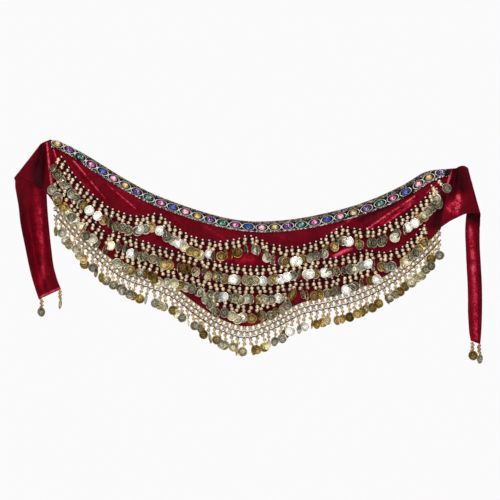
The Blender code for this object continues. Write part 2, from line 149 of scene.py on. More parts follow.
class Graph:
    """A node tree that is built a node at a time."""

    def __init__(self, tree: bpy.types.NodeTree) -> None:
        """Takes over a tree."""
        self.tree = tree

    def feed(self, socket: bpy.types.NodeSocket, value: object) -> None:
        """Links a socket to an input, or sets the input.

        Args:
            socket: The input.
            value: What goes into it: a socket, a number, a vector or an opaque colour.
        """
        if isinstance(value, bpy.types.NodeSocket):
            self.tree.links.new(value, socket)
        elif socket.type == "RGBA":
            socket.default_value = (*value, 1.0)
        else:
            socket.default_value = value

    def node(self, kind: str, inputs: dict | None = None, **settings: object) -> bpy.types.Node:
        """Adds a node.

        Args:
            kind: Its type, after the word ShaderNode.
            inputs: What goes into its sockets, by name or number.
            settings: Its own options.

        Returns:
            The node.
        """
        made = self.tree.nodes.new("ShaderNode" + kind)
        for name, value in settings.items():
            setattr(made, name, value)
        for name, value in (inputs or {}).items():
            self.feed(made.inputs[name], value)
        return made

    def where(self) -> bpy.types.NodeSocket:
        """Returns the place of a point on its piece."""
        return self.node("TexCoord").outputs["Object"]

    def unwrapped(self) -> bpy.types.NodeSocket:
        """Returns the place of a point on its piece's UV map."""
        return self.node("UVMap", uv_map=UV_MAP).outputs["UV"]

    def tint(self) -> bpy.types.NodeSocket:
        """Returns the colour that a small shape was tinted with."""
        return self.node("Attribute", attribute_name=TINT).outputs["Color"]

    def math(self, operation: str, *values: object) -> bpy.types.NodeSocket:
        """Returns the result of one arithmetic step."""
        return self.node("Math", dict(enumerate(values)), operation=operation).outputs[0]

    def vector(self, operation: str, *values: object) -> bpy.types.NodeOutputs:
        """Returns the results of one step with vectors: the vector, or the number named Value."""
        return self.node("VectorMath", dict(enumerate(values)), operation=operation).outputs

    def centred(self, vector: object) -> tuple[bpy.types.NodeSocket, bpy.types.NodeSocket]:
        """Returns a place on a UV map from the map's middle, and its distance from there."""
        off = self.vector("SUBTRACT", vector, (0.5, 0.5, 0.0))[0]
        return off, self.vector("LENGTH", off)["Value"]

    def ramp(self, value: object, low: float, high: float, start: float = 0.0, end: float = 1.0) -> object:
        """Returns a value that goes smoothly from start to end as another goes from low to high."""
        inputs = {"Value": value, "From Min": low, "From Max": high, "To Min": start, "To Max": end}
        return self.node("MapRange", inputs, interpolation_type="SMOOTHSTEP").outputs["Result"]

    def mix(self, share: object, first: object, second: object, blend: str = "MIX") -> bpy.types.NodeSocket:
        """Returns a colour between two others."""
        made = self.node("Mix", {0: share, 6: first, 7: second}, data_type="RGBA", blend_type=blend)
        return made.outputs[2]

    def noise(self, vector: object, scale: object, detail: float = 2.0, distortion: float = 0.0) -> object:
        """Returns a noise value from 0 to 1."""
        inputs = {"Vector": vector, "Scale": scale, "Detail": detail, "Distortion": distortion}
        return self.node("TexNoise", inputs).outputs[0]

    def bump(self, height: object, depth: float, normal: object = None) -> bpy.types.NodeSocket:
        """Returns the normal of a surface with a relief of a depth in metres."""
        inputs = {"Height": height, "Distance": depth}
        return self.node("Bump", inputs if normal is None else {**inputs, "Normal": normal}).outputs["Normal"]


class Effect:
    """A node group that several finishes share."""

    def __init__(self, name: str, inputs: dict[str, str], outputs: Iterable[str]) -> None:
        """Makes the group with its sockets.

        Args:
            name: What the group is called.
            inputs: Input names, each with Vector or Float.
            outputs: The names of its outputs, which are values.
        """
        self.tree = bpy.data.node_groups.new(name, "ShaderNodeTree")
        for direction, sockets in (("INPUT", inputs), ("OUTPUT", dict.fromkeys(outputs, "Float"))):
            for socket, kind in sockets.items():
                self.tree.interface.new_socket(socket, in_out=direction, socket_type="NodeSocket" + kind)
        self.graph = Graph(self.tree)
        self.given = self.tree.nodes.new("NodeGroupInput").outputs
        self.result = self.tree.nodes.new("NodeGroupOutput").inputs

    def give(self, **values: bpy.types.NodeSocket) -> Effect:
        """Links the outputs.

        Args:
            values: What comes out, by name.

        Returns:
            The effect itself.
        """
        for name, value in values.items():
            self.graph.feed(self.result[name], value)
        return self

    def place(self, graph: Graph, inputs: dict) -> bpy.types.NodeOutputs:
        """Puts the group into a material.

        Args:
            graph: The material's nodes.
            inputs: What goes into the group, by name.

        Returns:
            The group's outputs.
        """
        node = graph.tree.nodes.new("ShaderNodeGroup")
        node.node_tree = self.tree
        for name, value in inputs.items():
            graph.feed(node.inputs[name], value)
        return node.outputs


class Effects:
    """The effects that the finishes share, each built once."""

    def __init__(self) -> None:
        """Builds the groups."""
        self.nap = self._nap()
        self.tarnish = self._tarnish()
        self.relief = self._relief()
        self.twist = self._twist()

    @staticmethod
    def _nap() -> Effect:
        """Builds the effect of velvet pile.

        Returns:
            Patches that lie another way, smaller flecks of them, and the fine pile itself.
        """
        made = Effect("nap", {"Vector": "Vector"}, ("Crush", "Fleck", "Pile"))
        graph, vector = made.graph, made.given["Vector"]
        broad = graph.noise(vector, 22.0, 3.0, 0.8)
        close = graph.noise(vector, 120.0, 4.0, 0.4)
        both = graph.math("ADD", graph.math("MULTIPLY", broad, 0.65), graph.math("MULTIPLY", close, 0.35))
        fleck = graph.ramp(graph.noise(vector, 330.0, 2.0, 0.6), 0.36, 0.64)
        return made.give(Crush=graph.ramp(both, 0.34, 0.66), Fleck=fleck, Pile=graph.noise(vector, 1400.0))

    @staticmethod
    def _tarnish() -> Effect:
        """Builds the effect of age on metal.

        Returns:
            A mask of its dulled patches, and a fine grain.
        """
        made = Effect("tarnish", {"Vector": "Vector", "Scale": "Float"}, ("Mask", "Grain"))
        graph, vector = made.graph, made.given["Vector"]
        patches = graph.noise(vector, made.given["Scale"], 3.0, 0.3)
        return made.give(Mask=graph.ramp(patches, 0.42, 0.7), Grain=graph.noise(vector, 2600.0, 1.0))

    @staticmethod
    def _relief() -> Effect:
        """Builds the stamp on a coin, to lie on its UV map.

        Returns:
            The height of a rim, a ring of dots and a rosette of petals.
        """
        made = Effect("relief", {"Vector": "Vector"}, ("Height",))
        graph = made.graph
        dot_count, dot_ring, petal_count, petal_reach, petal_depth = 30.0, 0.37, 8.0, 0.22, 0.06
        off, radius = graph.centred(made.given["Vector"])
        parts = graph.node("SeparateXYZ", {0: off}).outputs
        angle = graph.math("ARCTAN2", parts[1], parts[0])
        off_ring = graph.math("ABSOLUTE", graph.math("SUBTRACT", radius, dot_ring))
        dots = graph.ramp(graph.math("COSINE", graph.math("MULTIPLY", angle, dot_count)), -0.2, 0.5)
        ring = graph.math("MULTIPLY", graph.ramp(off_ring, 0.012, 0.03, 1.0, 0.0), dots)
        wave = graph.math("COSINE", graph.math("MULTIPLY", angle, petal_count))
        petals = graph.math("MULTIPLY_ADD", wave, petal_depth, petal_reach)
        rosette = graph.ramp(graph.math("SUBTRACT", radius, petals), -0.03, 0.015, 1.0, 0.0)
        centre = graph.math("MULTIPLY", rosette, graph.ramp(radius, 0.05, 0.08))
        rim = graph.ramp(radius, 0.42, 0.45)
        return made.give(Height=graph.math("ADD", rim, graph.math("ADD", ring, centre)))

    @staticmethod
    def _twist() -> Effect:
        """Builds the effect of spun thread.

        Returns:
            The height of its fine lumps.
        """
        made = Effect("twist", {"Vector": "Vector"}, ("Height",))
        inputs = {"Vector": made.given["Vector"], "Scale": 420.0, "Distortion": 2.5, "Detail": 1.0}
        return made.give(Height=made.graph.node("TexWave", inputs, bands_direction="DIAGONAL").outputs[1])


@dataclass(frozen=True)
class Finish:
    """A surface finish that makes one material."""

    name: str
    slot: str

    def dress(self, graph: Graph, effects: Effects) -> dict[str, object]:
        """Works the finish out.

        Args:
            graph: The material's nodes.
            effects: The shared node groups.

        Returns:
            What goes into the shader's inputs: plain numbers and colours, and what changes over the surface.
        """
        raise NotImplementedError

    def make(self, effects: Effects) -> bpy.types.Material:
        """Builds the material.

        Args:
            effects: The shared node groups.

        Returns:
            The material, which remembers its record slot.
        """
        material = bpy.data.materials.new(self.name)
        material.use_nodes = True
        material["slot"] = self.slot
        graph = Graph(material.node_tree)
        shader = material.node_tree.nodes["Principled BSDF"].inputs
        for socket, value in self.dress(graph, effects).items():
            graph.feed(shader[socket], value)
        return material


@dataclass(frozen=True)
class Velvet(Finish):
    """Stretch velvet: deep red, with a painted pink highlight and a painted red halo along its folds and
    painted shade in its troughs, besides its own sheen.
    """

    # shade paints shade into the fold troughs; the two colours after open paint a red halo and a pink
    # highlight along the crests.
    shade: Colour = (0.014, 0.0002, 0.0008)
    deep: Colour = (0.062, 0.0003, 0.0022)
    open: Colour = (0.170, 0.0008, 0.0072)
    painted_halo: Colour = (0.40, 0.003, 0.020)
    bright: Colour = (0.74, 0.11, 0.18)
    sheen: Colour = (1.0, 0.08, 0.16)
    gloss_tint: Colour = (1.0, 0.16, 0.26)
    sheen_weight: float = 0.09
    crush_depth: float = 0.0012
    pile_depth: float = 0.00025

    def dress(self, graph: Graph, effects: Effects) -> dict[str, object]:
        """Works out the velvet's patchy tone, with the highlights and shade that the mesh attribute paints
        along its folds.

        Args:
            graph: The material's nodes.
            effects: The shared node groups.

        Returns:
            What goes into the shader's inputs.
        """
        nap = effects.nap.place(graph, {"Vector": graph.where()})
        close = graph.math("MULTIPLY_ADD", nap["Pile"], 0.2, graph.math("MULTIPLY", nap["Fleck"], 0.3))
        share = graph.math("MULTIPLY_ADD", nap["Crush"], 0.5, close)
        # The mesh attribute paints light into the base colour: painted shade below zero, a painted halo and
        # highlight above it.
        painted_light = graph.node("Attribute", attribute_name=PAINTED_LIGHT_MAP).outputs["Fac"]
        flecked_painted_light = graph.math("MULTIPLY", painted_light, graph.ramp(share, 0.1, 0.9, 0.25, 1.5))
        body = graph.mix(share, self.deep, self.open)
        body = graph.mix(graph.ramp(painted_light, 0.0, -1.0), body, self.shade)
        with_painted_halo = graph.mix(graph.ramp(flecked_painted_light, 0.0, 0.5), body, self.painted_halo)
        soft = graph.bump(nap["Crush"], self.crush_depth)
        return {
            "Base Color": graph.mix(graph.ramp(flecked_painted_light, 0.22, 1.0), with_painted_halo, self.bright),
            "Roughness": graph.ramp(nap["Crush"], 0.0, 1.0, 0.60, 0.42),
            "Specular IOR Level": 0.28,
            "Specular Tint": self.gloss_tint,
            "Sheen Weight": self.sheen_weight,
            "Sheen Roughness": 0.32,
            "Sheen Tint": self.sheen,
            "Normal": graph.bump(nap["Pile"], self.pile_depth, soft),
        }


@dataclass(frozen=True)
class Knit(Finish):
    """The matt knitted back of the velvet."""

    colour: Colour = (0.062, 0.001, 0.005)
    light: float = 1.9

    def dress(self, graph: Graph, effects: Effects) -> dict[str, object]:
        """Works out lines of stitches, lighter where they are worn.

        Args:
            graph: The material's nodes.
            effects: The shared node groups, which are not used.

        Returns:
            What goes into the shader's inputs.
        """
        where = graph.where()
        stitch = graph.node("TexWave", {"Vector": where, "Scale": 260.0, "Distortion": 1.5}).outputs[1]
        worn = graph.noise(where, 30.0, 3.0)
        share = graph.math("MULTIPLY_ADD", stitch, 0.5, graph.math("MULTIPLY", worn, 0.5))
        return {
            "Base Color": graph.mix(share, self.colour, lighten(self.colour, self.light)),
            "Roughness": graph.ramp(worn, 0.0, 1.0, 0.95, 0.8),
            "Specular IOR Level": 0.1,
            "Normal": graph.bump(stitch, 0.0002),
        }


@dataclass(frozen=True)
class Stamped(Finish):
    """Thin stamped metal, whose plating differs from coin to coin and has dulled in patches."""

    tarnish: Colour = (0.17, 0.13, 0.07)
    stamp_depth: float = 0.0007

    def dress(self, graph: Graph, effects: Effects) -> dict[str, object]:
        """Works out metal that is darker where its relief is low, and least so on a new coin.

        Args:
            graph: The material's nodes.
            effects: The shared node groups.

        Returns:
            What goes into the shader's inputs.
        """
        plating = graph.tint()
        dull = effects.tarnish.place(graph, {"Vector": graph.where(), "Scale": 160.0})
        stamp = effects.relief.place(graph, {"Vector": graph.unwrapped()})
        low = graph.math("MULTIPLY", graph.math("SUBTRACT", 1.0, stamp["Height"]), 0.62)
        age = graph.math("ADD", graph.math("MULTIPLY", dull["Mask"], 0.4), low)
        newness = graph.node("RGBToBW", {0: plating}).outputs[0]
        share = graph.math("MULTIPLY", age, graph.ramp(newness, 0.70, 0.78, 1.0, 0.45))
        dirty = graph.mix(1.0, plating, self.tarnish, "MULTIPLY")
        return {
            "Base Color": graph.mix(share, plating, dirty),
            "Roughness": graph.ramp(dull["Mask"], 0.0, 1.0, 0.17, 0.38),
            "Metallic": 1.0,
            "Normal": graph.bump(stamp["Height"], self.stamp_depth, graph.bump(dull["Grain"], 0.00004)),
        }


@dataclass(frozen=True)
class Plated(Finish):
    """Metallised beads, cord and settings."""

    bare: Colour = (0.25, 0.16, 0.08)
    roughness: float = 0.14
    metallic: float = 0.9
    worn: float = 0.5

    def dress(self, graph: Graph, effects: Effects) -> dict[str, object]:
        """Works out plating that is worn through in patches.

        Args:
            graph: The material's nodes.
            effects: The shared node groups.

        Returns:
            What goes into the shader's inputs.
        """
        plating = graph.tint()
        dull = effects.tarnish.place(graph, {"Vector": graph.where(), "Scale": 300.0})
        bare = graph.mix(0.7, plating, self.bare, "MULTIPLY")
        return {
            "Base Color": graph.mix(graph.math("MULTIPLY", dull["Mask"], self.worn), plating, bare),
            "Roughness": graph.ramp(dull["Mask"], 0.0, 1.0, self.roughness, self.roughness + 0.2),
            "Metallic": self.metallic,
            "Normal": graph.bump(dull["Grain"], 0.00005),
        }


@dataclass(frozen=True)
class Stone(Finish):
    """Foil-backed faceted stones, with painted glints on their facets and painted shade darkening them round
    the girdle.
    """

    # The colour of the painted glints.
    painted_glint_colour: Colour = (1.0, 0.97, 0.95)
    facets: float = 4.6
    foil_shift: float = 9.0

    def dress(self, graph: Graph, effects: Effects) -> dict[str, object]:
        """Works out a stone with painted glints and painted shade on its facets, in other places for each
        colour.

        Args:
            graph: The material's nodes.
            effects: The shared node groups, which are not used.

        Returns:
            What goes into the shader's inputs.
        """
        colour, place = graph.tint(), graph.unwrapped()
        _, radius = graph.centred(place)
        cut = graph.vector("MULTIPLY_ADD", colour, (self.foil_shift,) * 3, place)[0]
        painted_glint_cells = graph.node("TexVoronoi", {"Vector": cut, "Scale": self.facets}, feature="F1").outputs["Color"]
        painted_glint = graph.node("SeparateColor", {0: painted_glint_cells}).outputs[0]
        # A near-black copy of the colour paints shade on some facets and round the girdle, and the brightest
        # cells get a painted glint.
        painted_shade_colour = graph.mix(0.92, colour, (0.0, 0.0, 0.0))
        painted_facets = graph.mix(graph.ramp(painted_glint, 0.1, 0.9), graph.mix(0.55, colour, painted_shade_colour), colour)
        light = graph.mix(graph.ramp(painted_glint, 0.60, 0.88, 0.0, 0.55), painted_facets, self.painted_glint_colour)
        return {
            "Base Color": graph.mix(graph.ramp(radius, 0.22, 0.52), light, painted_shade_colour),
            "Roughness": graph.ramp(painted_glint, 0.0, 1.0, 0.04, 0.12),
            "Specular IOR Level": 0.4,
            "Coat Weight": 0.25,
            "Coat Roughness": 0.03,
        }


@dataclass(frozen=True)
class Ribbon(Finish):
    """Black woven ribbon with a little silver in its weave."""

    black: Colour = (0.004, 0.004, 0.004)
    silver: Colour = (0.30, 0.28, 0.25)

    def dress(self, graph: Graph, effects: Effects) -> dict[str, object]:
        """Works out the weave and its sparks of silver.

        Args:
            graph: The material's nodes.
            effects: The shared node groups, which are not used.

        Returns:
            What goes into the shader's inputs.
        """
        place = graph.unwrapped()
        weave = graph.node("TexBrick", {"Vector": place, "Scale": 1400.0}).outputs["Fac"]
        spark = graph.ramp(graph.noise(place, 900.0, 1.0), 0.66, 0.74)
        return {
            "Base Color": graph.mix(spark, self.black, self.silver),
            "Metallic": spark,
            "Specular IOR Level": 0.15,
            "Roughness": graph.ramp(spark, 0.0, 1.0, 0.75, 0.3),
            "Normal": graph.bump(weave, 0.0002),
        }


@dataclass(frozen=True)
class Thread(Finish):
    """Spun crochet thread."""

    colour: Colour = (0.009, 0.002, 0.002)
    light: float = 2.5
    fuzz: float = 0.004

    def dress(self, graph: Graph, effects: Effects) -> dict[str, object]:
        """Works out thread that is lighter on the crowns of its twist.

        Args:
            graph: The material's nodes.
            effects: The shared node groups.

        Returns:
            What goes into the shader's inputs.
        """
        twist = effects.twist.place(graph, {"Vector": graph.where()})["Height"]
        light = tuple(min(1.0, part * self.light + self.fuzz) for part in self.colour)
        return {
            "Base Color": graph.mix(graph.math("MULTIPLY", twist, 0.6), self.colour, light),
            "Specular IOR Level": 0.12,
            "Roughness": graph.ramp(twist, 0.0, 1.0, 0.9, 0.7),
            "Normal": graph.bump(twist, 0.0002),
        }


@dataclass(frozen=True)
class Plain(Finish):
    """The pale matt floor."""

    colour: Colour = (0.86, 0.86, 0.86)
    shaded: Colour = (0.8, 0.8, 0.8)

    def dress(self, graph: Graph, effects: Effects) -> dict[str, object]:
        """Returns the floor's paint, which is a little uneven."""
        shade = graph.ramp(graph.noise(graph.where(), 3.0), 0.0, 1.0, 0.97, 1.0)
        return {"Base Color": graph.mix(shade, self.shaded, self.colour), "Roughness": 0.9}


class Wardrobe:
    """Every material of the belt."""

    def __init__(self) -> None:
        """Builds the materials."""
        effects = Effects()
        self.velvet = Velvet("velvet", "velvet").make(effects)
        self.coins = Stamped("coins", "coins").make(effects)
        self.beads = Plated("beads", "beads", roughness=0.18, metallic=0.6).make(effects)
        self.pearls = Plated("pearls", "beads", roughness=0.2, metallic=0.1, worn=0.1).make(effects)
        self.setting = Plated("setting", "setting", roughness=0.26, metallic=0.6).make(effects)
        self.gems = Stone("gems", "gems").make(effects)
        self.ribbon = Ribbon("ribbon", "ribbon").make(effects)
        self.thread = Thread("thread", "thread").make(effects)
        self.hem_thread = Thread("hem_thread", "thread", colour=(0.016, 0.004, 0.003)).make(effects)
        self.gold_thread = Thread("gold_thread", "thread", colour=(0.20, 0.12, 0.045)).make(effects)
        self.red_thread = Thread("red_thread", "thread", colour=(0.09, 0.001, 0.006)).make(effects)
        self.backing = Knit("velvet_backing", "velvet").make(effects)
        self.floor = Plain("floor", "").make(effects)


def finish_piece(piece: bpy.types.Object, material: bpy.types.Material, *nodes: str) -> bpy.types.Object:
    """Gives a piece its material, body and slot, and hides the solids that it stands for.

    Args:
        piece: The finished object.
        material: What it is made of.
        nodes: The solids that it replaces.

    Returns:
        The piece.
    """
    piece.data.materials.clear()
    piece.data.materials.append(material)
    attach(piece, BODY)
    if nodes:
        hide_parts(*nodes)
    LOG.info("%s: %d faces", piece.name, len(piece.data.polygons))
    return piece


def link(name: str, data: bpy.types.ID) -> bpy.types.Object:
    """Puts something into the scene.

    Args:
        name: What it is called.
        data: Its mesh, curve, camera or light.

    Returns:
        Its new object.
    """
    made = bpy.data.objects.new(name, data)
    bpy.context.scene.collection.objects.link(made)
    return made


def link_bmesh(name: str, bm: bmesh.types.BMesh) -> bpy.types.Object:
    """Makes a piece.

    Args:
        name: What it is called.
        bm: Its mesh in millimetres, which is used up.

    Returns:
        Its new object, in metres.
    """
    mesh = bpy.data.meshes.new(name)
    bm.transform(Matrix.Scale(MM, 4))
    bm.to_mesh(mesh)
    bm.free()
    return link(name, mesh)


def lay_grid(
    columns: int,
    rows: int,
    spot: Callable[[float, float], Vector],
    uv_size: tuple[float, float] = (1.0, 1.0),
) -> bmesh.types.BMesh:
    """Lays out a sheet as a smooth grid.

    Args:
        columns: How many faces it has along u.
        rows: How many it has along v.
        spot: Gives the place of a point at u and v, both from 0 to 1.
        uv_size: How far its UV map runs each way.

    Returns:
        The sheet.
    """
    bm = bmesh.new()
    bmesh.ops.create_grid(bm, x_segments=columns, y_segments=rows, size=1.0)
    layer = bm.loops.layers.uv.new(UV_MAP)
    for face in bm.faces:
        face.smooth = True
        for loop in face.loops:
            u, v = (loop.vert.co.x + 1.0) / 2.0, (loop.vert.co.y + 1.0) / 2.0
            loop[layer].uv = (u * uv_size[0], v * uv_size[1])
    for vert in bm.verts:
        vert.co = spot((vert.co.x + 1.0) / 2.0, (vert.co.y + 1.0) / 2.0)
    return bm


def give_wall(piece: bpy.types.Object, thickness: float) -> bpy.types.SolidifyModifier:
    """Gives a sheet its thickness, half on each side.

    Args:
        piece: The sheet.
        thickness: How thick it becomes, in millimetres.

    Returns:
        The modifier that does it.
    """
    wall = piece.modifiers.new("wall", "SOLIDIFY")
    wall.thickness = thickness * MM
    wall.offset = 0.0
    return wall


class Shape:
    """One small shape, made once and copied many times."""

    def __init__(self, bm: bmesh.types.BMesh, smooth_angle: float | None = None) -> None:
        """Keeps a shape made in millimetres about the origin.

        Args:
            bm: The shape, which is used up.
            smooth_angle: Edges sharper than this many degrees stay sharp. With none, every face is flat.
        """
        bmesh.ops.recalc_face_normals(bm, faces=bm.faces[:])
        layer = bm.loops.layers.uv.new(UV_MAP)
        reach = max(abs(part) for vert in bm.verts for part in vert.co[:2])
        for face in bm.faces:
            face.smooth = smooth_angle is not None
            for loop in face.loops:
                loop[layer].uv = (loop.vert.co.x / reach / 2.0 + 0.5, loop.vert.co.y / reach / 2.0 + 0.5)
        if smooth_angle is not None:
            for edge in bm.edges:
                edge.smooth = edge.calc_face_angle(0.0) < math.radians(smooth_angle)
        self.mesh = bpy.data.meshes.new("shape")
        bm.to_mesh(self.mesh)
        bm.free()
        self.mesh.attributes.new(TINT, "FLOAT_COLOR", "POINT")


class Cluster:
    """Many copies of small shapes, joined into one mesh."""

    def __init__(self) -> None:
        """Starts with none."""
        self.bm = bmesh.new()

    def add(self, shape: Shape, place: Matrix, tint: Colour) -> None:
        """Adds a copy of a shape.

        Args:
            shape: The shape.
            place: Where it goes, in millimetres.
            tint: Its colour.
        """
        copy = shape.mesh.copy()
        copy.transform(place)
        copy.attributes[TINT].data.foreach_set("color", (*tint, 1.0) * len(copy.vertices))
        self.bm.from_mesh(copy)
        bpy.data.meshes.remove(copy)

    def finish(self, name: str) -> bpy.types.Object:
        """Returns the object of all the copies."""
        return link_bmesh(name, self.bm)


class Strands:
    """Thin threads, each a path in millimetres, made into one mesh."""

    def __init__(self, radius: float) -> None:
        """Starts with none.

        Args:
            radius: Their radius in millimetres.
        """
        self.curve = bpy.data.curves.new("strands", "CURVE")
        self.curve.dimensions = "3D"
        self.curve.bevel_depth = radius * MM
        self.curve.bevel_resolution = 1
        self.curve.use_fill_caps = True

    def add(self, path: Sequence[Vector]) -> None:
        """Adds a thread.

        Args:
            path: The points that it goes through.
        """
        spline = self.curve.splines.new("POLY")
        spline.points.add(len(path) - 1)
        for point, co in zip(spline.points, path):
            point.co = (*(Vector(co) * MM), 1.0)

    def finish(self, name: str) -> bpy.types.Object:
        """Makes the threads one piece.

        Args:
            name: What it is called.

        Returns:
            The new object.
        """
        drawn = link("drawn", self.curve)
        mesh = bpy.data.meshes.new_from_object(drawn.evaluated_get(bpy.context.evaluated_depsgraph_get()))
        mesh.name = name
        bpy.data.objects.remove(drawn)
        bpy.data.curves.remove(self.curve)
        mesh.shade_smooth()
        return link(name, mesh)


@dataclass(frozen=True)
class Fold:
    """A soft ridge from one point to another, or a trough where its height is negative.

    Its shine paints a highlight into the velvet's colour along its crest, or shade where it is below zero.
    """

    x0: float
    z0: float
    x1: float
    z1: float
    height: float
    width: float
    painted_shine: float = 0.0
    painted_shine_width: float = 2.2
    reach: float = 3.0

    def across(self, x: float, z: float) -> float:
        """Measures how far a point is from its line.

        Args:
            x: Where the point is.
            z: Likewise.

        Returns:
            The distance.
        """
        dx, dz = self.x1 - self.x0, self.z1 - self.z0
        share = ((x - self.x0) * dx + (z - self.z0) * dz) / (dx * dx + dz * dz)
        share = min(max(share, 0.0), 1.0)
        return math.hypot(x - self.x0 - share * dx, z - self.z0 - share * dz)

    def lift(self, x: float, z: float) -> float:
        """Works out how it lifts the cloth.

        Args:
            x: Where.
            z: Likewise.

        Returns:
            How far the cloth comes towards the viewer.
        """
        across = self.across(x, z)
        if across >= self.reach * self.width:
            return 0.0
        return self.height * math.exp(-((across / self.width) ** 2))

    def painted_gleam(self, x: float, z: float) -> float:
        """Works out the highlight or shade that it paints into the velvet's colour.

        Args:
            x: Where.
            z: Likewise.

        Returns:
            How much highlight it paints, or shade where this is below zero.
        """
        if not self.painted_shine:
            return 0.0
        return self.painted_shine * math.exp(-((self.across(x, z) / self.painted_shine_width) ** 2))


def painted_gleams(*rows: Sequence[float]) -> tuple[Fold, ...]:
    """Returns folds too low to lift the cloth, which only paint highlight or shade, from rows of X and Z at
    both ends, shine and its width.
    """
    return tuple(Fold(*row[:4], 0.0, 1.0, *row[4:]) for row in rows)


@dataclass
class Cloth:
    """A piece of velvet that is worked out over a grid and then given its wall."""

    name: str
    node: str
    columns: int
    rows: int
    wall: float = 1.3
    ripple: float = 0.35
    ripple_length: float = 26.0
    stitch_share: float = 0.6
    stitch_lift: float = 0.15

    def point(self, u: float, v: float) -> Vector:
        """Returns the point of the middle surface at u and v, both from 0 to 1."""
        raise NotImplementedError

    def painted_gleam(self, v: float, spot: Vector) -> float:
        """Returns the light painted into the velvet at a spot, from -1 for painted shade to 1 for a painted
        highlight.
        """
        raise NotImplementedError

    def rough(self, spot: Vector) -> float:
        """Returns how far the cloth ripples out of its middle surface at a spot."""
        return noise.fractal(spot / self.ripple_length, 1.0, 2.0, 3) * self.ripple

    def build(
        self,
        material: bpy.types.Material,
        backing: bpy.types.Material | None = None,
    ) -> bpy.types.Object:
        """Makes the piece.

        Args:
            material: The velvet.
            backing: The back of the velvet, where it isn't sewn double.

        Returns:
            The finished object.
        """
        painted_light = []

        def spot(u: float, v: float) -> Vector:
            """Finds a point of the sheet, and notes its painted light.

            Args:
                u: Where it is along the sheet, from 0 to 1.
                v: Where it is down the sheet, likewise.

            Returns:
                The point.
            """
            place = self.point(u, v)
            painted_light.append(self.painted_gleam(v, place))
            return place

        bm = lay_grid(self.columns, self.rows, spot)
        # Each point keeps the painted light, highlight or shade, that the velvet's colour is mixed with.
        nap = bm.verts.layers.float.new(PAINTED_LIGHT_MAP)
        for vert, painted_gleam in zip(bm.verts, painted_light):
            vert[nap] = painted_gleam
        bm.normal_update()
        for vert in bm.verts:
            vert.co += vert.normal * self.rough(vert.co)
        self.settle(bm)
        piece = link_bmesh(self.name, bm)
        wall = give_wall(piece, self.wall)
        finish_piece(piece, backing or material, self.node)
        if backing is not None:
            piece.data.materials.append(material)
            wall.material_offset = wall.material_offset_rim = 1
        return piece

    def normal(self, u: float, v: float) -> Vector:
        """Finds which way the sheet faces.

        Args:
            u: Where it is along the sheet, from 0 to 1.
            v: Where it is down the sheet, likewise.

        Returns:
            The direction.
        """
        step = 0.002
        along_u = self.point(min(u + step, 1.0), v) - self.point(max(u - step, 0.0), v)
        along_v = self.point(u, min(v + step, 1.0)) - self.point(u, max(v - step, 0.0))
        return along_u.cross(along_v).normalized()

    def stitch(self, strands: Strands, places: Sequence[tuple[float, float]]) -> None:
        """Sews a line of stitches through the sheet, which show on both sides.

        Args:
            strands: The thread.
            places: Where each stitch starts, as u and v.
        """
        for (u0, v0), (u1, v1) in zip(places, places[1:]):
            u2, v2 = u0 + (u1 - u0) * self.stitch_share, v0 + (v1 - v0) * self.stitch_share
            spots = []
            for u, v in ((u0, v0), (u2, v2)):
                spot, out = self.point(u, v), self.normal(u, v)
                spots.append((spot + out * self.rough(spot), out * (self.wall / 2.0 + self.stitch_lift)))
            for side in (-1.0, 1.0):
                strands.add([spot + out * side for spot, out in spots])

    def settle(self, bm: bmesh.types.BMesh) -> None:
        """Looks at the sheet once it is placed, before it gets its wall."""


